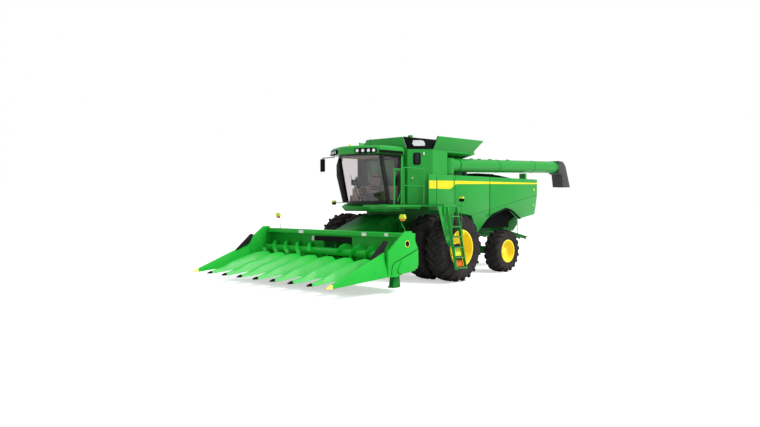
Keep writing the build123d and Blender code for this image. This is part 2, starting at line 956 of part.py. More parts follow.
with BuildPart() as cab_glass:
    add(cab_volume(glass_inset, cab_floor + 2, cab_ceiling - 2))
    add(cab_volume(glass_inset + glass_thickness, cab_floor + 2, cab_ceiling - 2), mode=Mode.SUBTRACT)
    block(
        (1120 + seat_gap, 2400),
        (-screen_half + seat_gap, screen_half - seat_gap),
        (window_sill + seat_gap, window_head - seat_gap),
        mode=Mode.INTERSECT,
    )
    pane_y = -cab_half + glass_inset
    side_slab(door_outline(seat_gap), pane_y + glass_thickness, pane_y)
    pane_x = cab_rear + glass_inset
    cross_slab(
        [(y - math.copysign(seat_gap, y), z + (seat_gap if z < 3000 else -seat_gap)) for y, z in rear_window],
        pane_x,
        pane_x + glass_thickness,
    )
keep(cab_glass, "cab_glass")

# Cab door: framed, with its own pane, on two hinge knuckles
with BuildPart() as cab_door:
    side_slab(door_outline(door_gap), door_y, door_y - door_thickness)
    side_slab(door_outline(door_gap + door_rail), door_y + 1, door_y - door_thickness - 1, mode=Mode.SUBTRACT)
    for z in door_hinges:
        block((door_hinge_x, door_hinge_x + 60), (door_y, door_y + 12), (z - 45, z + 45))
        bar([(door_hinge_x, hinge_y, z - 45), (door_hinge_x, hinge_y, z + 45)], 13)
        rod(
            (door_hinge_x, hinge_y, z - 46),
            (door_hinge_x, hinge_y, z + 46),
            hinge_radius + pin_gap,
            mode=Mode.SUBTRACT,
        )
keep(cab_door, "cab_door")
with BuildPart() as door_glass:
    pane_top = door_y - 12
    side_slab(door_outline(door_gap + door_rail + seat_gap), pane_top, pane_top - glass_thickness)
keep(door_glass, "cab_door_glass")

# Cab roof with its brow, and the two lamp clusters
roof_edge = [
    (2350, 0),
    (2280, 350),
    (1900, 1100),
    (1600, 1130),
    (850, 1110),
    (700, 1000),
]
roof_plan = roof_edge + [(a, -y) for a, y in reversed(roof_edge[1:])]
with BuildPart() as cab_roof:
    level_slab(roof_plan, cab_ceiling + seat_gap, roof_crown - 60)
    with BuildSketch(level_plane(roof_crown - 60)):
        with BuildLine():
            Polyline(*[(a, y) for a, y in roof_plan], close=True)
        make_face()
    extrude(amount=60, taper=50)
keep(cab_roof, "cab_roof")

lamp_face = 46
with BuildPart() as lamp_clusters:
    across = Vector(1900 - 2280, 1100 - 350, 0).normalized()
    facing = Vector(across.Y, -across.X, 0)
    start = Vector(front_axle_x + 2280, 350, 3915) + facing * seat_gap
    plane = Plane(start, x_dir=across, z_dir=facing)
    with BuildSketch(plane):
        with BuildLine():
            Polyline((40, 40), (90, 10), (690, 10), (740, 40), (740, 130), (690, 160), (90, 160), (40, 130), close=True)
        make_face()
    extrude(amount=lamp_face)
    with BuildSketch(plane.offset(lamp_face)):
        with Locations((130, 85), (310, 85), (490, 85), (655, 85)):
            RegularPolygon(56, 10)
    extrude(amount=12)
    both_sides()
keep(lamp_clusters, "roof_lamps")

# Seat, console and steering column
with BuildPart() as seat:
    block((1010, 1420), (-250, 250), (2700, 2830))
    side_slab([(1010, 2830), (1130, 2830), (1000, 3420), (890, 3420)], 240, -240)
    bar([(1200, 0, cab_floor + 60 + seat_gap), (1200, 0, 2700)], 110, 12)
    block((1050, 1450), (-480, -290), (2700, 2900))
    block((1050, 1240), (-480, -220), (2640, 2700))
keep(seat, "operator_seat")
with BuildPart() as column:
    bar([(1560, 0, cab_floor + 66), (1480, 0, 3050)], 40)
    wheel_plane = Plane((front_axle_x + 1480, 0, 3050), z_dir=(-0.35, 0, 1))
    with BuildSketch(wheel_plane):
        RegularPolygon(190, 12)
        RegularPolygon(158, 12, mode=Mode.SUBTRACT)
        Rectangle(330, 36)
    extrude(amount=22)
keep(column, "steering_column")

# Skirt under the cab
with BuildPart() as cab_skirt:
    side_slab(
        [
            (frame_front + seat_gap, cab_floor - 60 - seat_gap),
            (cab_rear, cab_floor - seat_gap),
            (1500, cab_floor - seat_gap),
            (1640, 2300),
            (1480, 2150),
            (frame_front + seat_gap, 2150),
        ],
        900,
        -900,
    )
    block((frame_front + 40, 1420), (-720, 720), (2100, 2300), mode=Mode.SUBTRACT)
keep(cab_skirt, "cab_skirt")

# Platform beside the cab, and the landing out to the ladder, with its hanging side plate
chamfer_run = (side_panel_front + 8 - tank_chamfer_end) / (tank_front - tank_chamfer_end)
chamfer_y = tank_half - (tank_half - tank_corner) * chamfer_run + 18
plate_y = landing_edge - 5
with BuildPart() as platform:
    level_slab(
        [
            (platform_front, 970),
            (platform_front, platform_edge),
            (landing_front, platform_edge),
            (landing_front, landing_edge),
            (landing_back, landing_edge),
            (landing_back, platform_edge),
            (platform_back, platform_edge),
            (platform_back, panel_plane + 8),
            (side_panel_front + 8, panel_plane + 8),
            (side_panel_front + 8, chamfer_y),
            (tank_front + 12, tank_corner + 12),
            (tank_front + 12, 970),
        ],
        deck_level - deck_thickness,
        deck_level,
    )
    block((1900, 2000), (780, 970), (deck_level - 120, deck_level - 62))
    block((1000, 1080), (900.3, 980), (2200, deck_level - 62))
    block((1000, 1080), (960, 1900), (2240, deck_level - 59))
    block((1900, 2000), (960, 1900), (2240, deck_level - 59))
    block((1000, 2000), (960, 1000), (2240, deck_level - 59))
    side_slab(
        [(400, deck_level - 40), (1210, deck_level - 40), (1200, deck_level - 70), (810, 1240), (700, 1120), (590, 1110)],
        plate_y,
        plate_y - 6.5,
    )
    block((landing_front, 1200), (plate_y - 60, plate_y), (deck_level - 50, deck_level - 40))
    bar([(ladder_hinge_x, ladder_hinge_y, 2090), (ladder_hinge_x, ladder_hinge_y, 2340)], ladder_pin_radius)
    block((ladder_hinge_x - 60, ladder_hinge_x), (landing_edge - 80, landing_edge - 20), (2080, deck_level - 59))
    block((ladder_hinge_x - 30, ladder_hinge_x + 20), (landing_edge - 80, ladder_hinge_y + 20), (2080, 2110))
    block((ladder_hinge_x - 30, ladder_hinge_x + 20), (landing_edge - 80, ladder_hinge_y + 20), (2300, 2340))
keep(platform, "platform")

with BuildPart() as rails:
    rail_y = platform_edge - 30
    rail_foot = deck_level + seat_gap
    bar(
        [(1710, rail_y, rail_foot), (1710, rail_y, rail_top), (820, rail_y, rail_top), (820, rail_y, rail_foot)],
        rail_radius,
    )
    bar([(1710, rail_y, rail_middle), (820, rail_y, rail_middle)], rail_radius - 3)
    bar([(2140, rail_y, rail_foot), (2140, rail_y, 3400), (1830, rail_y, 3400), (1830, rail_y, rail_foot)], rail_radius)
    for y in (2050, landing_edge - 60):
        bar([(landing_back + 40, y, rail_foot), (landing_back + 40, y, rail_middle + 300)], rail_radius)
keep(rails, "platform_rails")

# Ladder: leaning stiles and treads, hung at its front edge
lean_line = Vector(0, ladder_top_y - ladder_foot_y, ladder_top_z - ladder_foot_z)
ladder_plane = Plane(
    (front_axle_x, ladder_foot_y, ladder_foot_z), x_dir=(1, 0, 0), z_dir=Vector(1, 0, 0).cross(lean_line)
)
with BuildPart() as ladder:
    length = lean_line.length
    for edge in (-ladder_width / 2, ladder_width / 2 - 26):
        with BuildSketch(ladder_plane):
            with BuildLine():
                Polyline(
                    (ladder_foot_ahead + edge, -20),
                    (ladder_foot_ahead + edge + 26, -20),
                    (ladder_top_ahead + edge + 26, length),
                    (ladder_top_ahead + edge, length),
                    close=True,
                )
            make_face()
        extrude(amount=45, both=True)
    for step in range(ladder_steps):
        share = step / ladder_steps + 0.015
        middle = ladder_foot_ahead + (ladder_top_ahead - ladder_foot_ahead) * share
        y = ladder_foot_y + (ladder_top_y - ladder_foot_y) * share
        z = ladder_foot_z + (ladder_top_z - ladder_foot_z) * share
        half = ladder_width / 2 - 20
        block((middle - half, middle + half), (y - 55, y + 75), (z - 16, z + 16))
    block((ladder_top_ahead + 200, ladder_hinge_x), (landing_edge + 10, landing_edge + 54), (2140, 2260))
    bar([(ladder_hinge_x, ladder_hinge_y, 2130), (ladder_hinge_x, ladder_hinge_y, 2270)], 30)
    rod(
        (ladder_hinge_x, ladder_hinge_y, 2129),
        (ladder_hinge_x, ladder_hinge_y, 2271),
        ladder_pin_radius + pin_gap,
        mode=Mode.SUBTRACT,
    )
keep(ladder, "ladder")

# Unloading auger: turret, swinging elbow and tube, and its spout
rise = math.tan(math.radians(auger_rise))
with BuildPart() as turret:
    bar([(auger_pivot, auger_y, turret_top - 475), (auger_pivot, auger_y, turret_top)], turret_radius, 16)
    block((auger_pivot - 90, auger_pivot + 230), (tank_recess_half, auger_y), (turret_top - 425, turret_top - 225))
keep(turret, "auger_turret")

tip_z = auger_pivot_z + rise * (auger_pivot - auger_tip)
elbow_cut = Plane(
    (front_axle_x + auger_pivot + 0.86 * auger_radius, auger_y, auger_pivot_z + 0.86 * auger_radius), z_dir=(1, 0, 1)
)
with BuildPart() as auger_tube:
    bar(
        [(auger_pivot, auger_y, turret_top + pin_gap), (auger_pivot, auger_y, auger_pivot_z + auger_radius)],
        auger_radius - 8,
        16,
    )
    bar([(auger_pivot, auger_y, auger_pivot_z), (auger_tip, auger_y, tip_z)], auger_radius, 16)
    split(bisect_by=elbow_cut, keep=Keep.BOTTOM)
    rod((auger_pivot, auger_y, turret_top + pin_gap), (auger_pivot, auger_y, turret_top + 30), turret_radius + 20)
keep(auger_tube, "auger_tube")

spout_front = auger_tip - auger_radius * math.sin(math.radians(auger_rise)) - seat_gap
with BuildPart() as spout:
    side_slab(
        [
            (spout_front, tip_z - 240),
            (spout_front, tip_z + 245),
            (auger_tip - 330, tip_z + 225),
            (auger_tip - 540, tip_z + 60),
            (-spout_reach, spout_foot_z),
            (-spout_reach + 560, spout_foot_z),
            (auger_tip - 250, tip_z - 300),
        ],
        auger_y + 235,
        auger_y - 235,
    )
    side_slab(
        [
            (auger_tip - 60, tip_z - 215),
            (auger_tip - 60, tip_z + 205),
            (auger_tip - 320, tip_z + 190),
            (auger_tip - 505, tip_z + 40),
            (-spout_reach + 30, spout_foot_z - 10),
            (-spout_reach + 530, spout_foot_z - 10),
            (auger_tip - 280, tip_z - 215),
        ],
        auger_y + 215,
        auger_y - 215,
        mode=Mode.SUBTRACT,
    )
keep(spout, "auger_spout")

# Feeder house
with BuildPart() as feeder_house:
    side_slab(
        [
            (frame_front + 70, 1250),
            (frame_front + 70, 1985),
            (lift_pivot_ahead, 2030),
            (1000, 1990),
            (feeder_front, 1430),
            (feeder_front, 700),
        ],
        feeder_half,
        -feeder_half,
    )
    bar(
        [(lift_pivot_ahead, -feeder_half - 80, lift_pivot_z), (lift_pivot_ahead, feeder_half + 80, lift_pivot_z)],
        lift_shaft_radius,
        12,
    )
    bar([(ram_head[0], -ram_y - 34, ram_head[1]), (ram_head[0], ram_y + 34, ram_head[1])], ram_pin_radius)
    cross_slab([(-900, 660), (900, 660), (900, 1440), (-900, 1440)], feeder_front, header_back - seat_gap)
    block((feeder_front - 500, header_back), (-600, 600), (760, 1330), mode=Mode.SUBTRACT)
keep(feeder_house, "feeder_house")

# Header back: sheet with its throat, top beam, lower beam and auger pan
throat_half = 640
pan_front = cross_auger_ahead + 420
pan_floor = 560
bar_floor = 440
with BuildPart() as header_frame:
    block((header_back, header_back + header_sheet), (-header_half, header_half), (pan_floor, beam_bottom + 5))
    block((header_back, header_back + header_sheet + 1), (-throat_half, throat_half), (720, 1390), mode=Mode.SUBTRACT)
    block((beam_front - 340, beam_front), (-header_half, header_half), (beam_bottom, beam_top))
    side_slab(
        [
            (header_back, pan_floor),
            (header_back + 60, pan_floor),
            (header_back + 200, pan_floor + 40),
            (cross_auger_ahead, pan_floor),
            (cross_auger_ahead + 330, pan_floor),
            (pan_front, 720),
            (pan_front, 760),
            (cross_auger_ahead + 380, 760),
            (cross_auger_ahead + 300, 650),
            (cross_auger_ahead, 640),
            (header_back + 160, 700),
            (header_back + header_sheet, 720),
        ],
        header_half,
        -header_half,
    )
    block((pan_front - 130, pan_front), (-header_half, header_half), (bar_floor, 600))
keep(header_frame, "header_frame")

# Cross auger: core with flights that feed inwards from both ends
flight_turns = 4
flight_sides = 12
flight_thickness = 9
auger_half = header_half - 90
flight_start = 640
flight_end = auger_half - 60
flight_pitch = (flight_end - flight_start) / flight_turns


def flight_crossing(turn, side):
    """(y, radius) corners where a flight crosses one line along the core."""
    y = flight_start + flight_pitch * (turn + side / flight_sides)
    far = y + flight_thickness
    return [(y, cross_auger_core), (y, cross_auger_radius), (far, cross_auger_radius), (far, cross_auger_core)]


def auger_lines():
    """Lines along the left half of the auger, as blocks of corners that match from line to line."""
    middle = [(0, cross_auger_core)]
    core_end = [(auger_half, cross_auger_core)]
    rows = [[flight_crossing(turn, side) for turn in range(flight_turns)] for side in range(flight_sides)]
    # the winding starts and ends on the same line, where its blade stands on the bare core
    first, last = flight_crossing(0, 0), flight_crossing(flight_turns, 0)
    leaving = [middle] + rows[0] + [[last[0], last[3]] + core_end]
    entering = [middle + [first[0], first[3]]] + rows[0][1:] + [last, core_end]
    return leaving, [[middle] + row + [core_end] for row in rows[1:]], entering, (first, last)


def on_auger(line_corner, side, hand):
    y, reach = line_corner
    angle = 2 * math.pi * side / flight_sides
    return Vector(
        front_axle_x + cross_auger_ahead + reach * math.cos(angle), hand * y, cross_auger_z + reach * math.sin(angle)
    )


def from_auger_axis(point):
    return math.hypot(point.X - front_axle_x - cross_auger_ahead, point.Z - cross_auger_z)


def between(near, far, hand):
    """Triangles between two open rows of points; a blade's two faces are split along the same diagonal."""
    faces = []
    here = there = 0
    while here < len(near) - 1 or there < len(far) - 1:
        near_first = here == there and from_auger_axis(near[min(here + 1, len(near) - 1)]) >= from_auger_axis(near[here])
        if there == len(far) - 1 or (here < len(near) - 1 and (near_first or here < there)):
            faces.append(flat_face([near[here], near[here + 1], far[there]][::hand]))
            here += 1
        else:
            faces.append(flat_face([near[here], far[there + 1], far[there]][::hand]))
            there += 1
    return faces


def auger_half_faces(hand):
    """Skin of one half of the auger, open at the middle."""
    leaving, inner, entering, ends = auger_lines()
    lines = [leaving] + inner + [entering]
    faces = []
    for side, (near, far) in enumerate(zip(lines, lines[1:])):
        near_row, far_row = [], []
        for near_block, far_block in zip(near, far):
            near_points = near_row[-1:] + [on_auger(corner, side, hand) for corner in near_block]
            far_points = far_row[-1:] + [on_auger(corner, side + 1, hand) for corner in far_block]
            faces += between(near_points, far_points, hand)
            near_row, far_row = near_points, far_points
    for blade in ends:
        faces.append(flat_face([on_auger(corner, 0, hand) for corner in blade][::hand]))
    core_ring = [on_auger((auger_half, cross_auger_core), side, hand) for side in range(flight_sides)]
    faces.append(flat_face(core_ring[::hand]))
    return faces


with BuildPart() as cross_auger:
    add(Solid(Shell(auger_half_faces(1) + auger_half_faces(-1))))
    for hand in (1, -1):
        rod(
            (cross_auger_ahead, hand * auger_half, cross_auger_z),
            (cross_auger_ahead, hand * header_half, cross_auger_z),
            cross_auger_stub,
        )
keep(cross_auger, "cross_auger")


# Gathering snouts and hoods
def hood_corners(ahead, y, slope, width, low, high):
    """Ridged section across a hood, its sides at the same slope at every station."""
    top = (slope * width / 2 - (high - low)) / (slope - 0.25)
    return [
        Vector(front_axle_x + ahead, y + across, z)
        for across, z in (
            (-width / 2, low),
            (width / 2, low),
            (top, high - 0.25 * top),
            (top / 2, high),
            (-top / 2, high),
            (-top, high - 0.25 * top),
        )
    ]


hood_slope = 2.2
divider_slope = 4.6
# Columns: place ahead, width, underside, ridge height
hood_stations = (
    (nose_reach - tip_length, 95, 318, 400),
    (4900, 290, 400, 640),
    (4050, 480, 470, 860),
    (pan_front + seat_gap, 480, 580, 880),
)
# Columns: place ahead, width, underside, ridge height
divider_stations = (
    (nose_reach - tip_length, 105, 316, 420),
    (4700, 250, 400, 760),
    (3760, 300, 470, 1120),
)
inner_rows = [(row - (rows - 2) / 2) * row_spacing for row in range(rows - 1)]
divider_y = rows / 2 * row_spacing
with BuildPart() as snouts:
    for y in inner_rows:
        add(panelled([hood_corners(a, y, hood_slope, w, low, high) for a, w, low, high in hood_stations]))
keep(snouts, "row_snouts")


def snout_tip(y, station, nose, nose_rise):
    """Worn tip in front of a hood or divider, down to a blunt nose."""
    start, width, low, high = station
    wedge = [(start + seat_gap, low), (start + seat_gap, high), (nose, low + nose_rise + 30), (nose, low + nose_rise)]
    with BuildPart() as tip:
        side_slab(wedge, y + width / 2, y - width / 2)
        level_slab(
            [(start, y - width / 2), (start, y + width / 2), (nose, y + 13), (nose, y - 13)], low, high, mode=Mode.INTERSECT
        )
    return tip.part


with BuildPart() as snout_tips:
    for y in inner_rows:
        add(snout_tip(y, hood_stations[0], nose_reach - 20, 6))
keep(snout_tips, "snout_tips")

with BuildPart() as divider_tips:
    add(snout_tip(divider_y, divider_stations[0], nose_reach, 4))
    both_sides()
keep(divider_tips, "divider_tips")

# End shields: the outer snout running up into a tall side panel
shield_inner = header_half + seat_gap
with BuildPart() as end_shields:
    add(panelled([hood_corners(a, divider_y, divider_slope, w, low, high) for a, w, low, high in divider_stations]))
    side_slab(
        [
            (3760, 470),
            (3760, 1130),
            (3070, 1650),
            (2840, 1650),
            (2570, 1150),
            (2560, 710),
            (3390, 460),
        ],
        end_shield_half,
        shield_inner,
    )
    side_slab(
        [(2640, 640), (2600, 900), (2760, 1080), (3250, 900), (3420, 640), (3300, 520)],
        end_shield_half + drive_cover_depth,
        end_shield_half,
    )
    both_sides()
keep(end_shields, "end_shields")

with BuildPart() as deflectors:
    side_slab(
        [(3764, 1120.5), (3600, 1390), (3680, 1420), (4250, 933)],
        divider_y + 9,
        divider_y - 9,
    )
    both_sides()
keep(deflectors, "rubber_deflectors")

# Row units between the hoods, on the front edge of the pan
with BuildPart() as row_units:
    for row in range(rows):
        y = (row - (rows - 1) / 2) * row_spacing
        block((pan_front + seat_gap, 4550), (y - 120, y - 20), (430, 520))
        block((pan_front + seat_gap, 4550), (y + 20, y + 120), (430, 520))
        block((pan_front + seat_gap, 3640), (y - 120, y + 120), (430, 560))
keep(row_units, "row_units")

# Skid shoes below the header's ends
with BuildPart() as skids:
    side_slab(
        [
            (3150, 170),
            (3200, 150),
            (3460, 150),
            (3520, 190),
            (3440, 190),
            (3400, bar_floor - seat_gap),
            (pan_front - 130, bar_floor - seat_gap),
            (pan_front - 130, pan_floor - seat_gap),
            (3200, pan_floor - seat_gap),
        ],
        header_half - 50,
        header_half - 210,
    )
    both_sides()
keep(skids, "header_skids")

# Lift cylinders: barrels on the front axle, rods up to pins on the feeder house
ram_line = Vector(ram_head[0] - ram_foot[0], 0, ram_head[1] - ram_foot[1])
ram_way = ram_line.normalized()


def ram_point(along, aside=0):
    return (ram_foot[0] + ram_way.X * along, ram_y + aside, ram_foot[1] + ram_way.Z * along)


def across_ram(point, half, radius, mode=Mode.ADD):
    """Round bore across the cylinder, centred on it."""
    rod((point[0], ram_y - half, point[2]), (point[0], ram_y + half, point[2]), radius, mode=mode)


with BuildPart() as lift_barrels:
    bar([ram_point(90), ram_point(barrel_end)], 58, 10)
    bar([ram_point(30), ram_point(95)], 30, 6)
    bar([ram_point(0, -30), ram_point(0, 30)], 46, 8)
    rod(ram_point(barrel_bore), ram_point(barrel_end + 1), ram_rod_radius + pin_gap, mode=Mode.SUBTRACT)
    across_ram(ram_point(0), 31, ram_pin_radius + pin_gap, mode=Mode.SUBTRACT)
    both_sides()
keep(lift_barrels, "lift_barrels")

with BuildPart() as lift_rods:
    bar([ram_point(barrel_bore + 60), ram_point(ram_line.length - 48)], ram_rod_radius, 12)
    bar([ram_point(ram_line.length, -26), ram_point(ram_line.length, 26)], 60, 8)
    across_ram(ram_point(ram_line.length), 27, ram_eye_radius, mode=Mode.SUBTRACT)
    both_sides()
keep(lift_rods, "lift_rods")

# Amber lamps on their arms, and the beacon on the roof
def round_lamp(ahead, y, z, radius=62, depth=56):
    """Lamp drum that faces along the machine."""
    bar([(ahead - depth / 2, y, z), (ahead + depth / 2, y, z)], radius, 12)


arm_radius = 9
lamp_post = (190, landing_edge + 82)
beacon_place = (2020, -70)
with BuildPart() as warning_lamps:
    round_lamp(lamp_post[0], -lamp_post[1], 2430)
    bar([(lamp_post[0], -panel_plane - seat_gap, 2430), (lamp_post[0], -lamp_post[1], 2430)], arm_radius)
    round_lamp(lamp_post[0], lamp_post[1], 2530)
    round_lamp(lamp_post[0], lamp_post[1], 1540)
    bar([(lamp_post[0], lamp_post[1], 1540), (lamp_post[0], lamp_post[1], 2530)], arm_radius)
    arm_start = (landing_back - seat_gap, landing_edge - 40, 2330)
    bar([arm_start, (lamp_post[0], landing_edge - 40, 2330), (lamp_post[0], lamp_post[1], 2330)], arm_radius)
    bar([(*beacon_place, roof_crown + seat_gap), (*beacon_place, roof_crown + 80)], 62, 12)
keep(warning_lamps, "warning_lamps")

# Header lamps on bent stalks, the right one further in
stalk_ahead = 2780
with BuildPart() as header_lamps:
    for y, side in ((header_half - 230, 1), (510 - header_half, -1)):
        bar(
            [
                (stalk_ahead, y, beam_top + seat_gap),
                (stalk_ahead, y, beam_top + 110),
                (stalk_ahead + 40, y - side * 110, beam_top + 260),
                (stalk_ahead + 80, y, 1990),
            ],
            arm_radius,
        )
        side_slab(
            [
                (stalk_ahead + 62, 1925),
                (stalk_ahead + 118, 1940),
                (stalk_ahead + 118, 2010),
                (stalk_ahead + 100, 2085),
                (stalk_ahead + 62, 2085),
            ],
            y + 78,
            y - 78,
        )
keep(header_lamps, "header_lamps")

# The mirror that the photograph shows, on the right
mirror_y = -1630
with BuildPart() as mirrors:
    bar([(1800, -1060, cab_ceiling), (1800, -1060, 3890), (1800, mirror_y, 3890), (1800, mirror_y, 3860)], 12)
    block((1770, 1830), (mirror_y - 110, mirror_y + 110), (3430, 3865))
keep(mirrors, "mirrors")

# Drawbar hitch behind the rear axle
hitch_ahead = -wheelbase - 480
hitch_pin_radius = 16
hitch_top = rear_radius - knuckle_half - 21 - seat_gap
with BuildPart() as drawbar:
    block((-wheelbase - 530, -wheelbase + 60), (-75, 75), (hitch_top - 40, hitch_top))
    rod((hitch_ahead, 0, hitch_top - 41), (hitch_ahead, 0, hitch_top + 1), hitch_pin_radius, mode=Mode.SUBTRACT)
keep(drawbar, "drawbar")
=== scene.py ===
import json
from math import cos, pi, radians, sin
import bpy
from mathutils import Matrix, Vector

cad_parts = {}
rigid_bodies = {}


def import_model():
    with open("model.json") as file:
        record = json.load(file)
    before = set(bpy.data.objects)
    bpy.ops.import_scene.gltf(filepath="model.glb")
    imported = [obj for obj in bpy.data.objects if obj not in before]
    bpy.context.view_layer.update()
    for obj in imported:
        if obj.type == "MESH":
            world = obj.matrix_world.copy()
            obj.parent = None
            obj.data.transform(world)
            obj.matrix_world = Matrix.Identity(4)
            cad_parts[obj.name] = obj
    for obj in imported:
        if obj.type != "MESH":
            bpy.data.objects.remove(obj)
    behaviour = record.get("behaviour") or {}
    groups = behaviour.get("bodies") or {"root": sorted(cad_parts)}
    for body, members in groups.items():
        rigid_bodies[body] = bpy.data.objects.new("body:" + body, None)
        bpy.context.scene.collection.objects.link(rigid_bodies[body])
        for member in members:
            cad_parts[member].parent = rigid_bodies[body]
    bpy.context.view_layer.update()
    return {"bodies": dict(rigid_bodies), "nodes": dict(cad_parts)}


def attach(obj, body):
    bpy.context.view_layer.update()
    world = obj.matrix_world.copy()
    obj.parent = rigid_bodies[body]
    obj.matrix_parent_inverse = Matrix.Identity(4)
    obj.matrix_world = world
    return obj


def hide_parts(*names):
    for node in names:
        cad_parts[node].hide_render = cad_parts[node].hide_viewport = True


# Combine harvester with an eight-row header. Metres, +X forward, +Y left, +Z up.
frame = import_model()
nodes = frame["nodes"]
aheadZero = 1.42  # the front axle's place along X, which "ahead" lengths start from
frontAxle = (aheadZero, 0, 1.03)
rearAxle = (-2.13, 0, 0.742)
rowPitch = 0.762
sides = ((1, "left"), (-1, "right"))
mergeWithin = 0.00002
bevelFrom = radians(28)


# modelling helpers, used as one would use the menus
def clearSelection():
    if bpy.context.object and bpy.context.object.mode != "OBJECT":
        bpy.ops.object.mode_set(mode="OBJECT")
    bpy.ops.object.select_all(action="DESELECT")


def pickOnly(piece):
    clearSelection()
    piece.select_set(True)
    bpy.context.view_layer.objects.active = piece


def settle(piece):
    pickOnly(piece)
    bpy.ops.object.transform_apply(location=True, rotation=True, scale=True)
    return piece


def openAll(piece):
    # edit mode with the whole mesh selected
    pickOnly(piece)
    bpy.ops.object.mode_set(mode="EDIT")
    bpy.ops.mesh.select_all(action="SELECT")


def closeEdit():
    bpy.ops.object.mode_set(mode="OBJECT")


def faceOutwards(piece):
    openAll(piece)
    bpy.ops.mesh.remove_doubles(threshold=mergeWithin)
    bpy.ops.mesh.normals_make_consistent(inside=False)
    closeEdit()
    return piece


def applied(piece, kind, **settings):
    pickOnly(piece)
    modifier = piece.modifiers.new(kind.lower(), kind)
    for key, value in settings.items():
        setattr(modifier, key, value)
    bpy.ops.object.modifier_apply(modifier=modifier.name)


def smooth(piece, angle=35):
    pickOnly(piece)
    bpy.ops.object.shade_smooth_by_angle(angle=radians(angle))
    return piece


def rounded(piece, width, segments=2):
    # bevel as a modifier, applied, so that long edges catch the light
    applied(piece, "BEVEL", width=width, segments=segments, limit_method="ANGLE", angle_limit=bevelFrom)
    return smooth(piece)


def block(low, high, edge=0.004, segments=2):
    clearSelection()
    middle = [(a + b) / 2 for a, b in zip(low, high)]
    bpy.ops.mesh.primitive_cube_add(size=1, location=middle, scale=[b - a for a, b in zip(low, high)])
    piece = settle(bpy.context.object)
    return rounded(piece, edge, segments) if edge else piece


def pointChain(points, closed=False):
    # one vertex, extruded from place to place
    clearSelection()
    bpy.ops.mesh.primitive_plane_add(size=0.001)
    piece = bpy.context.object
    openAll(piece)
    bpy.ops.mesh.merge(type="CENTER")
    bpy.ops.transform.translate(value=points[0])
    for here, after in zip(points, points[1:]):
        step = [b - a for a, b in zip(here, after)]
        bpy.ops.mesh.extrude_region_move(TRANSFORM_OT_translate={"value": step})
    if closed:
        bpy.ops.mesh.select_all(action="SELECT")
        bpy.ops.mesh.edge_face_add()
    closeEdit()
    return settle(piece)


def slab(corners, push, edge=0.003, segments=2):
    # flat outline filled with F and extruded
    piece = pointChain(corners, closed=True)
    openAll(piece)
    bpy.ops.mesh.extrude_region_move(TRANSFORM_OT_translate={"value": push})
    closeEdit()
    faceOutwards(piece)
    return rounded(piece, edge, segments) if edge else piece


def spun(profile, centre, steps=64, axis="Y"):
    # profile of (along, radius) turned about an axis through centre
    way = Vector([float(letter == axis) for letter in "XYZ"])
    out = Vector((0, 1, 0) if axis == "X" else (1, 0, 0))
    piece = pointChain([Vector(centre) + way * along + out * radius for along, radius in profile])
    openAll(piece)
    bpy.ops.mesh.spin(steps=steps, angle=2 * pi, center=centre, axis=way)
    closeEdit()
    return smooth(faceOutwards(piece))


def bentRoute(points, bend, steps=4):
    # corners of a route rounded with short runs
    route = [Vector(points[0])]
    for before, corner, after in zip(points, points[1:], points[2:]):
        corner = Vector(corner)
        inward = Vector(before) - corner
        outward = Vector(after) - corner
        reach = min(bend, inward.length * 0.45, outward.length * 0.45)
        start = corner + inward.normalized() * reach
        end = corner + outward.normalized() * reach
        for step in range(steps + 1):
            t = step / steps
            route.append(start * (1 - t) ** 2 + corner * 2 * t * (1 - t) + end * t ** 2)
    route.append(Vector(points[-1]))
    return route


def tube(points, radius, bend=0.06, roundness=2):
    clearSelection()
    bpy.ops.curve.primitive_bezier_curve_add(location=(0, 0, 0))
    piece = bpy.context.object
    shape = piece.data
    shape.splines.clear()
    route = bentRoute(points, bend) if len(points) > 2 else [Vector(p) for p in points]
    run = shape.splines.new("POLY")
    run.points.add(len(route) - 1)
    for spot, place in zip(run.points, route):
        spot.co = (*place, 1)
    shape.dimensions = "3D"
    shape.bevel_depth = radius
    shape.bevel_resolution = roundness
    shape.use_fill_caps = True
    bpy.ops.object.convert(target="MESH")
    return smooth(faceOutwards(settle(bpy.context.object)), 50)


def named(piece, name):
    piece.name = name
    piece.data.name = name
    return piece


def joined(name, pieces):
    pickOnly(pieces[0])
    for piece in pieces:
        piece.select_set(True)
    bpy.context.view_layer.objects.active = pieces[0]
    if len(pieces) > 1:
        bpy.ops.object.join()
    return named(bpy.context.object, name)


def copied(piece, change, name=None):
    twin = piece.copy()
    twin.data = piece.data.copy()
    bpy.context.scene.collection.objects.link(twin)
    twin.data.transform(change)
    if change.determinant() < 0:
        twin.data.flip_normals()
    return named(twin, name) if name else twin


def turnedAbout(centre, angle, way="Y"):
    there = Matrix.Translation(Vector(centre))
    return there @ Matrix.Rotation(angle, 4, way) @ there.inverted()


otherSide = Matrix.Scale(-1, 4, (0, 1, 0))


def atSide(outline, y):
    return [(x, y, z) for x, z in outline]


def atFront(outline, x, y=0, z=0):
    return [(x, y + across, z + up) for across, up in outline]


def shift(x=0, y=0, z=0):
    return Matrix.Translation((x, y, z))


def dress(piece, look, body, replaced=()):
    # look: a finish with the record's slot that it belongs to
    finish, slot = look
    piece.data.materials.clear()
    piece.data.materials.append(finish)
    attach(piece, body)
    if replaced:
        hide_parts(*replaced)
    return piece


def worn(name, look, *pieces, body="chassis", replaced=()):
    return dress(joined(name, pieces), look, body, replaced)


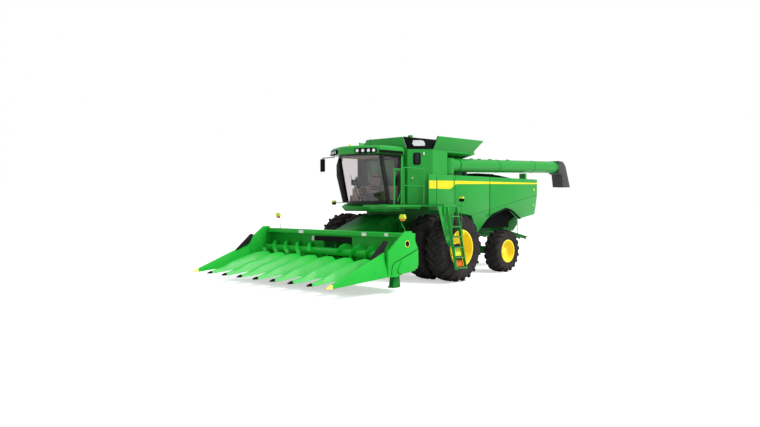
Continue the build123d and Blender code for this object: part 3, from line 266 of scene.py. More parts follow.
# camera, as the photograph was taken
view = {"place": (18.141, 15.488, 2.401), "back": (0.7174, 0.6965, 0.0147), "lens": 32.5, "sensor": 36}
bpy.ops.object.camera_add(location=view["place"])
camera = bpy.context.object
camera.rotation_euler = (-Vector(view["back"])).to_track_quat("-Z", "Y").to_euler()
camera.data.lens = view["lens"]
camera.data.sensor_width = view["sensor"]
camera.data.clip_end = 400
bpy.context.scene.camera = camera

# plain studio: soft sun, pale world, floor that keeps the shadow
studio = {
    "sun": 2.7, "sunSpread": 20, "world": 0.7, "floor": "#E9E9E9", "floorGlow": 0.52, "sunTurn": (42, 0, 200),
    "floorSize": 400
}


def linear(hexColour):
    parts = [int(hexColour[n:n + 2], 16) / 255 for n in (1, 3, 5)]
    return tuple(p / 12.92 if p <= 0.04045 else ((p + 0.055) / 1.055) ** 2.4 for p in parts) + (1,)


def addNode(tree, kind, values={}, **settings):
    node = tree.nodes.new("ShaderNode" + kind)
    for key, value in settings.items():
        setattr(node, key, value)
    for key, value in values.items():
        if isinstance(value, bpy.types.NodeSocket):
            tree.links.new(value, node.inputs[key])
        else:
            node.inputs[key].default_value = value
    return node


def newMaterial(name):
    made = bpy.data.materials.new(name)
    made.use_nodes = True
    made.node_tree.nodes.clear()
    return made, made.node_tree


def seenDirectly(tree):
    # 1 on what the camera sees itself or through glass
    ray = addNode(tree, "LightPath")
    rays = {0: ray.outputs["Is Camera Ray"], 1: ray.outputs["Is Transmission Ray"]}
    return addNode(tree, "Math", rays, operation="MAXIMUM").outputs[0]


bpy.ops.object.light_add(type="SUN", location=(0, 0, 12), rotation=[radians(turn) for turn in studio["sunTurn"]])
sun = bpy.context.object
sun.data.energy = studio["sun"]
sun.data.angle = radians(studio["sunSpread"])
world = bpy.data.worlds.new("studioWorld")
bpy.context.scene.world = world
world.use_nodes = True
sky = world.node_tree
sky.nodes.clear()
seen = seenDirectly(sky)
plain = addNode(sky, "Background", {"Color": linear("#F3F5F7"), "Strength": studio["world"]})
white = addNode(sky, "Background", {"Color": (1, 1, 1, 1), "Strength": 1.0})
chosen = addNode(sky, "MixShader", {0: seen, 1: plain.outputs[0], 2: white.outputs[0]})
addNode(sky, "OutputWorld", {"Surface": chosen.outputs[0]})

clearSelection()
bpy.ops.mesh.primitive_plane_add(size=studio["floorSize"], location=(0, 0, -0.001))
floor = bpy.context.object
floor.name = "studioFloor"
floorPaint, tree = newMaterial("studioFloorPaint")
glow = addNode(tree, "Math", {0: seenDirectly(tree), 1: studio["floorGlow"]}, operation="MULTIPLY")
matt = addNode(tree, "BsdfDiffuse", {"Color": linear(studio["floor"])})
shine = addNode(tree, "Emission", {"Color": (1, 1, 1, 1), "Strength": glow.outputs[0]})
both = addNode(tree, "AddShader", {0: matt.outputs[0], 1: shine.outputs[0]})
addNode(tree, "OutputMaterial", {"Surface": both.outputs[0]})
floor.data.materials.append(floorPaint)
bpy.context.scene.view_settings.view_transform = "Standard"
print("studio ready")


# finishes, each named for the real material and how its surface was made
def finish(
    name, base, other, grain, rough, roughSpread=0.06, bump=0.0, bumpGrain=0.01, metal=0.0, coat=0.0, sheen=0.28
):
    # two close colours in soft patches of the grain's size in metres, roughness that follows them, and a finer bump
    # of its own
    made, tree = newMaterial(name)
    where = addNode(tree, "TexCoord")
    patches = addNode(
        tree, "TexNoise", {"Vector": where.outputs["Object"], "Scale": 1 / grain, "Detail": 5.0, "Roughness": 0.55}
    )
    spread = addNode(tree, "MapRange", {"Value": patches.outputs["Fac"], "From Min": 0.35, "From Max": 0.85})
    colour = addNode(tree, "Mix", data_type="RGBA")
    tree.links.new(spread.outputs[0], colour.inputs["Factor"])
    colour.inputs[6].default_value = linear(base)
    colour.inputs[7].default_value = linear(other)
    roughness = addNode(
        tree, "MapRange",
        {"Value": patches.outputs["Fac"], "To Min": rough - roughSpread, "To Max": rough + roughSpread}
    )
    shell = addNode(
        tree, "BsdfPrincipled",
        {
            "Base Color": colour.outputs[2], "Roughness": roughness.outputs[0], "Metallic": metal,
            "Coat Weight": coat, "Coat Roughness": 0.12, "Specular IOR Level": sheen
        }
    )
    if bump:
        fine = addNode(tree, "TexNoise", {"Vector": where.outputs["Object"], "Scale": 1 / bumpGrain, "Detail": 3.0})
        lift = addNode(tree, "Bump", {"Height": fine.outputs["Fac"], "Strength": 1.0, "Distance": bump})
        tree.links.new(lift.outputs["Normal"], shell.inputs["Normal"])
    addNode(tree, "OutputMaterial", {"Surface": shell.outputs[0]})
    return made


# powder-coated and sprayed sheet: even colour, faint orange peel
greenSheet = finish("sprayedGreenSheet", "#25A039", "#209735", 0.9, 0.36, 0.03, 0.0005, 0.02, coat=0.08)
# moulded polyethylene: same green, painted lighter as painted light on the header's parts, and softer in its gloss
litGreenMoulding = finish("litMouldedGreenPanel", "#22B93A", "#1DAF35", 0.7, 0.4, 0.04, 0.0005, 0.03, coat=0.05, sheen=0.2)
# chassis parts, crease and platform tread: the same paint, duller, and painted darker as painted shade
shadedGreenPaint = finish("shadedChassisGreenPaint", "#0C7A24", "#08621C", 0.35, 0.48, 0.08, 0.001, 0.03, sheen=0.2)
yellowRim = finish("sprayedYellowRim", "#FFE63A", "#FBDC2C", 0.4, 0.32, 0.04, 0.0004, 0.02, coat=0.1)
yellowMoulding = finish("mouldedYellowTip", "#FFF27C", "#FCE862", 0.2, 0.38)
# carbon-black rubber, moulded, with dust that greys it in patches
tyreRubber = finish("mouldedTyreRubber", "#2C2829", "#3E3937", 0.18, 0.8, 0.08, 0.0012, 0.012, sheen=0.12)
softRubber = finish("beltedRubberSheet", "#1C1B1C", "#2A2729", 0.1, 0.66, 0.06, 0.0008, 0.006, sheen=0.15)
# ABS with a grained skin
blackMoulding = finish("grainedBlackAbs", "#0D0F0F", "#141615", 0.25, 0.62, 0.05, 0.0006, 0.004, sheen=0.06)
pillarTrim = finish("greyMouldedPillar", "#4B494A", "#403E3F", 0.2, 0.55, 0.05, 0.0005, 0.006)
darkFrame = finish("blackPowderCoat", "#232325", "#2B2B2D", 0.3, 0.42, 0.05, sheen=0.2)
wornSteel = finish("rolledWornSteel", "#6E6F6B", "#4B4A46", 0.08, 0.42, 0.12, 0.0006, 0.01, metal=0.9)
chromeRod = finish("chromedRod", "#D5D7DA", "#C8CBCE", 0.3, 0.12, 0.03, metal=1.0)
castIron = finish("castIronBlock", "#2A2B2C", "#1E1E1F", 0.12, 0.62, 0.08, 0.0015, 0.01)
seatCloth = finish("wovenSeatCloth", "#8E7A6A", "#7A6859", 0.03, 0.85, 0.05, 0.0006, 0.003)
beigeTrim = finish("mouldedBeigeTrim", "#B39C8A", "#A48D7C", 0.25, 0.62, 0.05, 0.0006, 0.006)
yellowVinyl = finish("yellowVinylFilm", "#F5E11F", "#EFD914", 0.5, 0.35)
limeReflector = finish("limeReflectiveFilm", "#DDF03C", "#CFE52C", 0.05, 0.3)
orangeReflector = finish("orangeReflectiveFilm", "#F0741A", "#E2620F", 0.05, 0.3)
amberLens = finish("amberAcrylicLens", "#F08A12", "#E27808", 0.05, 0.14, 0.02, coat=0.5)
redLens = finish("redAcrylicLens", "#B3140E", "#A1100B", 0.05, 0.16, 0.02, coat=0.5)
whiteLens = finish("ribbedClearLens", "#F4F6F7", "#DDE2E4", 0.02, 0.12, 0.03, coat=0.6)
darkGrille = finish("perforatedScreen", "#1B1D1C", "#2A2D2B", 0.02, 0.55, 0.06, 0.0015, 0.012)


# tinted laminated glass: light passes through the tint, and the skin adds a faint gloss
def tintedGlass(name, tint, gloss):
    made, tree = newMaterial(name)
    where = addNode(tree, "TexCoord")
    haze = addNode(tree, "TexNoise", {"Vector": where.outputs["Object"], "Scale": 3.0})
    roughness = addNode(tree, "MapRange", {"Value": haze.outputs["Fac"], "To Min": 0.02, "To Max": 0.06})
    through = addNode(tree, "BsdfTransparent", {"Color": linear(tint)})
    skin = addNode(tree, "BsdfGlossy", {"Color": (1, 1, 1, 1), "Roughness": roughness.outputs[0]})
    both = addNode(tree, "MixShader", {0: gloss, 1: through.outputs[0], 2: skin.outputs[0]})
    addNode(tree, "OutputMaterial", {"Surface": both.outputs[0]})
    return made


cabPane = tintedGlass("tintedLaminatedGlass", "#F4F2F2", 0.05)

# looks that several pieces share
blackTrim = (blackMoulding, "black_plastic")
beige = (beigeTrim, "black_plastic")
greenPaint = (greenSheet, "green_paint")
litGreenPanel = (litGreenMoulding, "green_panel")
rimPaint = (yellowRim, "yellow_paint")
rubberSheet = (softRubber, "rubber")
treadRubber = (tyreRubber, "tyre")
padCloth = (seatCloth, "seat_fabric")
clearLens = (whiteLens, "glass")
lime = (limeReflector, "yellow_plastic")
amber = (amberLens, "amber_lens")
darkSteel = (darkFrame, "steel")
bareSteel = (wornSteel, "steel")


# CAD nodes keep their shape and get these finishes
shieldNodes = ["side_shield_" + end + "_" + side for end in ("front", "rear") for side in ("left", "right")]
nodeLooks = (
    (
        greenPaint,
        (
            "grain_tank", "tank_flaps", "engine_deck", "auger_tube", "auger_turret", "cab_skirt", "cab_roof",
            "platform", "ladder", "platform_rails", "front_side_panels", *shieldNodes
        )
    # the header's hoods, end shields and frame in the lighter green, which is painted light
    ), (litGreenPanel, ("row_snouts", "end_shields", "header_frame")),
    # chassis parts in the darker copy of the paint, which is painted shade
    (
        (shadedGreenPaint, "green_paint"),
        (
            "main_frame", "front_axle", "rear_axle", "drawbar", "chopper_housing", "tailboard",
            "steering_knuckle_left", "steering_knuckle_right", "header_skids", "cross_auger", "feeder_house"
        )
    ), (rimPaint, ("front_rims_left", "front_rims_right", "rear_rim_left", "rear_rim_right")),
    (treadRubber, ("front_tyres_left", "front_tyres_right", "rear_tyre_left", "rear_tyre_right")),
    ((yellowMoulding, "yellow_plastic"), ("divider_tips",)),
    (blackTrim, ("tank_corner_panels", "snout_tips", "mirrors", "roof_lamps", "steering_column")),
    ((pillarTrim, "green_paint"), ("auger_spout",)),
    ((darkFrame, "green_paint"), ("cab_frame", "cab_door", "shield_rails")), (rubberSheet, ("rubber_deflectors",)),
    ((cabPane, "glass"), ("cab_glass", "cab_door_glass")), (padCloth, ("operator_seat",)),
    ((chromeRod, "chrome"), ("lift_rods",)), (bareSteel, ("row_units", "lift_barrels")),
    (amber, ("warning_lamps", "header_lamps")), ((castIron, "steel"), ("engine_block",))
)
lookOf = {name: look for look, names in nodeLooks for name in names}
for name, look in lookOf.items():
    nodes[name].data.materials.clear()
    nodes[name].data.materials.append(look[0])
print("finishes on", len(lookOf), "nodes")

# tyres: turned carcass, then curved lugs copied round both shoulders
tyreSizes = {
    "front": {"radius": 1.03, "width": 0.69, "rim": 0.545, "lug": 0.05, "lugs": 20},
    "rear": {"radius": 0.742, "width": 0.58, "rim": 0.37, "lug": 0.042, "lugs": 18}
}
# lug and crown in shares of the tyre's width, "sunk" in shares of the lug's height
lugShape = {
    "cuts": 7, "past": -0.02, "reach": 0.53, "thick": 0.06, "thicker": 0.012, "foot": 1.25, "taper": 0.25,
    "sweep": 0.34, "bend": 0.9, "shoulder": 0.86, "drop": 0.55, "sunk": 1.25, "deeper": 0.9
}
crown = {"drop": 0.052, "power": 3.2}
# side wall from the rim's seat to the tread: shares of the width and of the wall's height
carcassShares = (
    (0.405, 0), (0.425, 0.05), (0.44, 0.1), (0.47, 0.2), (0.492, 0.34), (0.5, 0.5), (0.495, 0.64), (0.475, 0.78),
    (0.44, 0.88), (0.36, 0.955)
)


def crownRadius(size, across):
    # height of the lugs' tips over the tyre's width, dropping at the shoulders
    share = abs(across) / (size["width"] / 2)
    return size["radius"] - crown["drop"] * size["width"] * share ** crown["power"]


def carcass(size):
    width, radius, rim, lug = size["width"], size["radius"], size["rim"], size["lug"]
    floorOfTread = radius - lug
    depth = floorOfTread - rim
    right = [(across * width, rim + up * depth) for across, up in carcassShares]
    right.append((0.22 * width, floorOfTread - 0.004))
    left = [(-along, r) for along, r in reversed(right)]
    ring = right + [(0, floorOfTread)] + left
    return spun(ring + [ring[0]], (0, 0, 0), steps=72)


def lugBar(size, side):
    # a bar from the tread's middle to the shoulder, bent to the tyre by its vertices' places
    clearSelection()
    bpy.ops.mesh.primitive_cube_add(size=1)
    piece = bpy.context.object
    openAll(piece)
    bpy.ops.mesh.subdivide(number_cuts=lugShape["cuts"])
    closeEdit()
    width = size["width"]
    for vertex in piece.data.vertices:
        along, wide, high = vertex.co.x + 0.5, vertex.co.y, vertex.co.z + 0.5
        across = (lugShape["past"] + along * lugShape["reach"]) * width
        slope = lugShape["foot"] - lugShape["taper"] * high
        halfWidth = (lugShape["thick"] + lugShape["thicker"] * along) * width * slope
        angle = (lugShape["sweep"] * width * along ** lugShape["bend"] + wide * 2 * halfWidth) / size["radius"]
        drop = max(0, along - lugShape["shoulder"]) * width * lugShape["drop"]
        sunk = size["lug"] * (lugShape["sunk"] + lugShape["deeper"] * along ** 3)
        radius = crownRadius(size, min(across, width / 2)) - drop - sunk * (1 - high)
        vertex.co = (radius * cos(angle), side * across, radius * sin(angle))
    return rounded(faceOutwards(piece), 0.0035, 1)


def treadedTyre(size):
    parts = [carcass(size)]
    pitch = 2 * pi / size["lugs"]
    for side, stagger in ((1, 0), (-1, 0.5)):
        pattern = lugBar(size, side)
        for count in range(size["lugs"]):
            angle = pitch * (count + stagger)
            parts.append(copied(pattern, Matrix.Rotation(angle, 4, "Y")))
        bpy.data.objects.remove(pattern)
    return joined("patternTyre", parts)


tyreRows = (
    ("front", frontAxle, (1.525, 2.418), "front_tyres_", "front_wheels_"),
    ("rear", rearAxle, (1.771,), "rear_tyre_", "rear_wheel_")
)
patternTyre = {kind: treadedTyre(size) for kind, size in tyreSizes.items()}
for kind, axle, rows, node, body in tyreRows:
    for side, word in sides:
        tyres = [copied(patternTyre[kind], shift(axle[0], side * y, axle[2])) for y in rows]
        worn("tread_" + node + word, treadRubber, *tyres, body=body + word, replaced=(node + word,))
for pattern in patternTyre.values():
    bpy.data.objects.remove(pattern)
print("tyres done")

# rims: turned barrels and dished discs, with nuts and hub
def nutRing(centre, count, ring, y, nut, thick, edge):
    nuts = []
    for turn in range(count):
        angle = 2 * pi * turn / count
        place = (centre[0] + ring * cos(angle), y, centre[2] + ring * sin(angle))
        clearSelection()
        bpy.ops.mesh.primitive_cylinder_add(
            vertices=6, radius=nut, depth=thick, rotation=(pi / 2, 0, 0), location=place
        )
        nuts.append(rounded(settle(bpy.context.object), edge, 1))
    return nuts


def frontRimPiece(name):
    inner, outer = 1.525, 2.418
    profile = [
        (inner - 0.313, 0.56), (inner - 0.309, 0.573), (inner - 0.299, 0.573), (inner - 0.297, 0.545),
        (inner - 0.1, 0.544), (inner, 0.538), (inner + 0.1, 0.544), (inner + 0.297, 0.545), (inner + 0.299, 0.573),
        (inner + 0.313, 0.57), (inner + 0.313, 0.515), (1.367, 0.511), (1.367, 0.24), (1.372, 0.235), (2.328, 0.235),
        (2.33, 0.276), (2.398, 0.505), (2.38, 0.511), (outer - 0.313, 0.515), (outer - 0.313, 0.57),
        (outer - 0.299, 0.573), (outer - 0.297, 0.545), (outer, 0.538), (outer + 0.297, 0.545),
        (outer + 0.299, 0.573), (outer + 0.309, 0.573), (outer + 0.313, 0.566), (outer + 0.31, 0.528),
        (outer + 0.24, 0.52), (outer + 0.05, 0.516), (outer + 0.02, 0.506), (2.402, 0.455), (2.372, 0.33),
        (2.354, 0.285), (2.35, 0.26), (2.352, 0.182), (2.362, 0.176), (2.44, 0.172), (2.462, 0.16), (2.474, 0.12),
        (2.478, 0)
    ]
    disc = spun(profile, frontAxle, steps=96)
    nuts = nutRing(
        frontAxle, 12, 0.222, 2.362, 0.017, 0.03, 0.002
    ) + nutRing(frontAxle, 8, 0.482, 2.418, 0.019, 0.03, 0.002)
    return joined(name, [disc] + nuts)


def rearRimPiece(name):
    middle = 1.771
    edge = 0.4 * 0.58 + 0.037
    profile = [
        (middle - edge, 0.385), (middle - edge + 0.004, 0.398), (middle - edge + 0.014, 0.398),
        (middle - edge + 0.016, 0.37), (middle, 0.362), (middle + edge - 0.016, 0.37), (middle + edge - 0.014, 0.398),
        (middle + edge - 0.004, 0.398), (middle + edge, 0.392), (middle + edge - 0.004, 0.352),
        (middle + edge - 0.05, 0.345), (middle + 0.1, 0.34), (1.858, 0.333), (1.85, 0.315), (1.806, 0.2),
        (1.792, 0.165), (1.79, 0.15), (1.8, 0.134), (1.87, 0.13), (1.892, 0.118), (1.896, 0)
    ]
    disc = spun(profile, rearAxle, steps=80)
    dish = [
        (1.56, 0), (1.56, 0.158), (1.565, 0.16), (1.766, 0.16), (1.836, 0.33), (middle - edge, 0.34),
        (middle - edge, 0.385)
    ]
    back = spun(dish, rearAxle, steps=64)
    return joined(name, [disc, back] + nutRing(rearAxle, 10, 0.15, 1.799, 0.013, 0.028, 0.0015))


for build, place, body, node in (
    (frontRimPiece, "Front", "front_wheels_", "front_rims_"), (rearRimPiece, "Rear", "rear_wheel_", "rear_rim_")
):
    leftRim = build("rim" + place + "Left")
    rightRim = copied(leftRim, otherSide, "rim" + place + "Right")
    dress(leftRim, rimPaint, body + "left", (node + "left",))
    dress(rightRim, rimPaint, body + "right", (node + "right",))
print("rims done")

# hoods between the rows: moulded shells with a round back and a crisp ridge
hood = {"rows": 7, "skin": 0.006, "blunt": 1.24, "lengthCuts": 26, "acrossCuts": 16}
hoodStations = (
    # ahead, half width, underside, ridge
    (5.6, 0.0475, 0.318, 0.4), (5.2, 0.105, 0.355, 0.505), (4.9, 0.145, 0.4, 0.64), (4.5, 0.19, 0.435, 0.745),
    (4.05, 0.24, 0.47, 0.86), (3.75, 0.245, 0.52, 0.898), (3.5, 0.24, 0.565, 0.872), (3.432, 0.236, 0.58, 0.8),
)


def along(stations, ahead):
    for near, far in zip(stations, stations[1:]):
        if near[0] >= ahead >= far[0]:
            t = (near[0] - ahead) / (near[0] - far[0])
            return [a + (b - a) * t for a, b in zip(near[1:], far[1:])]
    return list(stations[-1][1:])


def hoodShell(middle):
    clearSelection()
    bpy.ops.mesh.primitive_grid_add(x_subdivisions=hood["lengthCuts"], y_subdivisions=hood["acrossCuts"], size=1)
    piece = bpy.context.object
    front, back = hoodStations[0][0], hoodStations[-1][0]
    for vertex in piece.data.vertices:
        ahead = front + (back - front) * (vertex.co.x + 0.5)
        half, low, high = along(hoodStations, ahead)
        side = vertex.co.y * 2
        arch = 1 - abs(side) ** hood["blunt"]
        vertex.co = (aheadZero + ahead, middle + side * half, low + (high - low) * arch)
    applied(piece, "SOLIDIFY", thickness=hood["skin"], offset=1)
    return smooth(faceOutwards(settle(piece)), 40)


hoods = [hoodShell((row - 3) * rowPitch) for row in range(hood["rows"])]
# the hoods in the lighter green: painted light
worn("rowHoods", litGreenPanel, *hoods, body="feeder", replaced=("row_snouts",))
print("hoods done")

# cross auger: tube with real helical flighting towards the middle
crossAuger = {"core": 0.11, "radius": 0.27, "turns": 4, "cutsPerTurn": 28, "start": 0.64, "end": 2.98, "blade": 0.007}
crossAxis = (aheadZero + 3.01, 0, 0.96)
fingerRow = {"count": 9, "turn": 2.4, "start": -0.52, "step": 0.13, "foot": 0.09, "tip": 0.235, "radius": 0.008}


def aroundAuger(radius, angle, y):
    return (crossAxis[0] + radius * cos(angle), y, crossAxis[2] + radius * sin(angle))


def flighting(side):
    clearSelection()
    turns = crossAuger["turns"]
    bpy.ops.mesh.primitive_grid_add(x_subdivisions=turns * crossAuger["cutsPerTurn"], y_subdivisions=2, size=1)
    piece = bpy.context.object
    for vertex in piece.data.vertices:
        share = vertex.co.x + 0.5
        radius = crossAuger["core"] - 0.004 + (crossAuger["radius"] - crossAuger["core"]) * (vertex.co.y + 0.5)
        angle = share * turns * 2 * pi
        y = side * (crossAuger["start"] + share * (crossAuger["end"] - crossAuger["start"]))
        vertex.co = aroundAuger(radius, angle, y)
    applied(piece, "SOLIDIFY", thickness=crossAuger["blade"], offset=0)
    return smooth(faceOutwards(settle(piece)), 40)


coreHalf = [(0, 3.13), (0.045, 3.13), (0.045, 3.04), (0.108, 3.04), (0.11, 3.036)]
coreProfile = [(-y, radius) for radius, y in coreHalf] + [(y, radius) for radius, y in reversed(coreHalf)]
augerParts = [spun(coreProfile, crossAxis, steps=40), flighting(1), flighting(-1)]
for count in range(fingerRow["count"]):
    angle, y = count * fingerRow["turn"], fingerRow["start"] + fingerRow["step"] * count
    ends = [aroundAuger(fingerRow[end], angle, y) for end in ("foot", "tip")]
    augerParts.append(tube(ends, fingerRow["radius"]))
worn("crossAugerFlights", (litGreenMoulding, "steel"), *augerParts, body="cross_auger", replaced=("cross_auger",))
print("cross auger done")

# inside the cab: padded seat, console, wheel and trim
seat = {
    "voxel": 0.009, "pressure": 4, "frames": 20, "cap": 0.014, "shrink": 0.012, "lean": -10, "hinge": (2.47, 0, 2.84),
    "channelHalf": 0.014, "channelDepth": 0.007
}


def cushion(name, low, high, channels):
    # closed form swollen by a short cloth simulation, sewn channels pressed in after it
    shrink = seat["shrink"]
    pad = joined(name, [block([a + shrink for a in low], [b - shrink for b in high], 0.03, 3)])
    applied(pad, "REMESH", mode="VOXEL", voxel_size=seat["voxel"])
    before = [vertex.co.copy() for vertex in pad.data.vertices]
    swell = pad.modifiers.new("swell", "CLOTH")
    swell.settings.use_pressure = True
    swell.settings.uniform_pressure_force = seat["pressure"]
    swell.settings.effector_weights.gravity = 0
    swell.point_cache.frame_start = 1
    swell.point_cache.frame_end = seat["frames"]
    for step in range(seat["frames"]):
        bpy.context.scene.frame_set(step + 1)
    bpy.ops.object.modifier_apply(modifier="swell")
    bpy.context.scene.frame_set(1)
    for vertex, start in zip(pad.data.vertices, before):
        moved = vertex.co - start
        if moved.length > seat["cap"]:
            vertex.co = start + moved * (seat["cap"] / moved.length)
    middle = (Vector(low) + Vector(high)) / 2
    for vertex in pad.data.vertices:
        for way, place in channels:
            near = abs(vertex.co[way] - place) / seat["channelHalf"]
            if near < 1:
                inward = middle - vertex.co
                inward[way] = 0
                vertex.co += inward.normalized() * seat["channelDepth"] * (1 - near) ** 2
    applied(pad, "SUBSURF", levels=1, render_levels=1)
    smooth(pad, 60)
    return pad


seatPad = cushion(
    "seatCushion", (2.43, -0.25, 2.72), (2.84, 0.25, 2.83), [(0, 2.55), (0, 2.7), (1, -0.17), (1, 0.17)]
)
dress(seatPad, padCloth, "chassis", ("operator_seat",))
backPad = cushion(
    "seatBackrest", (2.4, -0.235, 2.84), (2.5, 0.235, 3.27), [(2, 2.95), (2, 3.09), (1, -0.15), (1, 0.15)]
)
headPad = cushion("seatHeadrest", (2.41, -0.14, 3.285), (2.49, 0.14, 3.42), [(2, 3.35)])
for pad in (backPad, headPad):
    pad.data.transform(turnedAbout(seat["hinge"], radians(seat["lean"])))
    dress(pad, padCloth, "chassis")
worn(
    "seatBase", blackTrim, block((2.44, -0.24, 2.66), (2.83, 0.24, 2.715), 0.012),
    block((2.5, -0.15, 2.5), (2.76, 0.15, 2.66), 0.02), block((2.46, -0.19, 2.441), (2.8, 0.19, 2.5), 0.008),
    slab([(2.395, -0.23, 2.8), (2.395, 0.23, 2.8), (2.3, 0.21, 3.3), (2.3, -0.21, 3.3)], (-0.012, 0, 0), 0.004)
)
worn(
    "seatConsole", beige, block((2.47, -0.475, 2.66), (2.87, -0.29, 2.88), 0.03, 3),
    block((2.5, -0.44, 2.441), (2.7, -0.31, 2.67), 0.02)
)
worn(
    "consoleControls", blackTrim, block((2.92, -0.56, 2.98), (2.95, -0.3, 3.17), 0.01),
    tube([(2.85, -0.4, 2.86), (2.93, -0.42, 2.95), (2.935, -0.43, 3.0)], 0.012),
    tube([(2.8, -0.36, 2.87), (2.82, -0.36, 2.96)], 0.01), block((2.8, -0.385, 2.95), (2.85, -0.335, 3.03), 0.018, 3),
    block((2.46, 0.27, 2.9), (2.78, 0.335, 2.945), 0.02, 3), tube([(2.44, 0.3, 2.92), (2.43, 0.24, 2.88)], 0.012)
)
wheelShape = {
    "radius": 0.176, "grip": 0.0135, "spokes": (0.5, pi - 0.5, 1.5 * pi), "place": (2.898, 0, 3.06), "lean": -19
}
clearSelection()
bpy.ops.mesh.primitive_torus_add(
    major_radius=wheelShape["radius"], minor_radius=wheelShape["grip"], major_segments=56, minor_segments=14
)
wheelRim = settle(bpy.context.object)
spokes = [tube([(0, 0, -0.012), (0.17 * cos(a), 0.17 * sin(a), 0)], 0.011) for a in wheelShape["spokes"]]
wheelHub = spun([(-0.03, 0), (-0.03, 0.035), (0, 0.05), (0.012, 0.045), (0.016, 0)], (0, 0, 0), 28, "Z")
smooth(wheelRim, 60)
wheel = joined("wheel", [wheelRim, wheelHub] + spokes)
wheel.data.transform(shift(*wheelShape["place"]) @ Matrix.Rotation(radians(wheelShape["lean"]), 4, "Y"))
worn(
    "steeringWheel", blackTrim, wheel, tube([(2.98, 0, 2.446), (2.965, 0, 2.62), (2.905, 0, 3.04)], 0.032, 0.1),
    block((2.88, -0.07, 2.72), (2.99, 0.07, 2.9), 0.03, 3), block((3.02, -0.12, 2.5), (3.05, -0.05, 2.6), 0.006),
    block((3.02, 0.05, 2.5), (3.05, 0.12, 2.6), 0.006), replaced=("steering_column",)
)
worn(
    "cabLining", beige, block((2.19, -0.86, 2.445), (2.215, 0.86, 2.96), 0.008),
    block((2.22, -0.885, 2.445), (2.7, -0.865, 2.66), 0.006),
    block((2.22, -0.86, 2.445), (2.62, -0.56, 2.9), 0.03, 3), block((2.24, -0.8, 3.855), (3.1, 0.8, 3.88), 0.01)
)
mat = ((2.22, -0.86), (2.22, 0.86), (2.72, 0.86), (3.02, 0.35), (3.02, -0.35), (2.72, -0.86))
worn("cabFloorMat", rubberSheet, slab([(x, y, 2.442) for x, y in mat], (0, 0, 0.008)))
print("cab inside done")

# cab outside: lamps in the roof bezels, wiper, handle, aerial, post panel
roofLamps = {
    "start": (3.7, 0.35), "z": 4.0, "places": (0.13, 0.31, 0.49, 0.655), "out": 0.0465, "turn": radians(26.9)
}
lens = spun([(0, 0), (0, 0.05), (0.012, 0.05), (0.018, 0.042), (0.022, 0.02), (0.0225, 0)], (0, 0, 0), 32, "X")
lampRing = spun([(0, 0.05), (0, 0.06), (0.012, 0.059), (0.014, 0.051), (0.012, 0.05)], (0, 0, 0), 32, "X")
lenses, rings = [], []
for across in roofLamps["places"]:
    turn = Matrix.Rotation(roofLamps["turn"], 4, "Z")
    there = shift(*roofLamps["start"], roofLamps["z"]) @ turn @ shift(roofLamps["out"], across)
    for side in (Matrix(), otherSide):
        lenses.append(copied(lens, side @ there))
        rings.append(copied(lampRing, side @ there))
for pattern in (lens, lampRing):
    bpy.data.objects.remove(pattern)
worn("roofLampLenses", clearLens, *lenses)
worn("roofLampRings", blackTrim, *rings)
worn(
    "rightMirror", blackTrim, block((3.195, -1.735, 3.44), (3.247, -1.525, 3.86), 0.022, 4),
    tube([(3.22, -1.06, 3.93), (3.22, -1.06, 3.89), (3.22, -1.63, 3.89), (3.22, -1.63, 3.86)], 0.014, 0.08),
    replaced=("mirrors",)
)
worn("mirrorGlass", (chromeRod, "chrome"), block((3.19, -1.715, 3.47), (3.196, -1.545, 3.83), 0.002))
worn("cabPostPanel", greenPaint, block((2.145, 0.975, 2.4), (2.252, 0.985, 3.915), 0.004))
worn(
    "cabTrimDark", blackTrim, tube([(3.19, 0.1, 2.46), (3.3, 0.02, 2.8), (3.42, -0.1, 3.3)], 0.007),
    tube([(3.2, 0.571, 4.165), (3.2, 0.571, 4.4)], 0.005)
)
worn(
    "doorHandle", blackTrim,
    tube([(2.95, 0.978, 2.95), (2.95, 1.01, 2.97), (2.95, 1.01, 3.15), (2.95, 0.978, 3.17)], 0.009, 0.02),
    body="cab_door"
)
print("cab outside done")

# warning lamps on their arms, and the beacon
lampArm = {
    "x": 1.61, "y": 2.862, "right": 2.43, "upper": 2.53, "lower": 1.54,
    "hood": ((-0.088, 0.012), (-0.06, 0.075), (0.06, 0.075), (0.088, 0.012))
}


def roadLamp(y, z):
    # dark case, round lens front and back, lime hood on top
    x = lampArm["x"]
    case = block((x - 0.03, y - 0.085, z - 0.075), (x + 0.03, y + 0.085, z + 0.03), 0.014, 3)
    glass = [
        spun([(way * 0.026, 0), (way * 0.026, 0.03), (way * 0.02, 0.046), (0, 0.046)], (x, y, z - 0.012), 24, "X")
        for way in (1, -1)
    ]
    return case, glass, slab(atFront(lampArm["hood"], x - 0.035, y, z), (0.07, 0, 0), 0.008)


cases, lenses, limeParts = [], [], []
for side, height in ((-1, "right"), (1, "upper"), (1, "lower")):
    case, glass, hoodTop = roadLamp(side * lampArm["y"], lampArm[height])
    # the lower lamp is lime all over
    (limeParts if height == "lower" else cases).append(case)
    (limeParts if height == "lower" else lenses).extend(glass)
    limeParts.append(hoodTop)
beacon = spun([(0.003, 0), (0.003, 0.058), (0.05, 0.055), (0.07, 0.04), (0.079, 0)], (3.44, -0.07, 4.166), 28, "Z")
worn("roadLampCases", blackTrim, *cases, replaced=("warning_lamps",))
worn("roadLampLenses", amber, *lenses)
worn("roofBeacon", (yellowMoulding, "amber_lens"), beacon)
worn("roadLampHoods", lime, *limeParts)
armX, armY = lampArm["x"], lampArm["y"]
worn(
    "roadLampArms", greenPaint, tube([(armX, armY, 1.56), (armX, armY, 2.51)], 0.009),
    tube([(1.75, 2.72, 2.33), (armX, 2.72, 2.33), (armX, armY, 2.33)], 0.009),
    tube([(armX, -1.661, lampArm["right"]), (armX, -2.8, lampArm["right"])], 0.01)
)

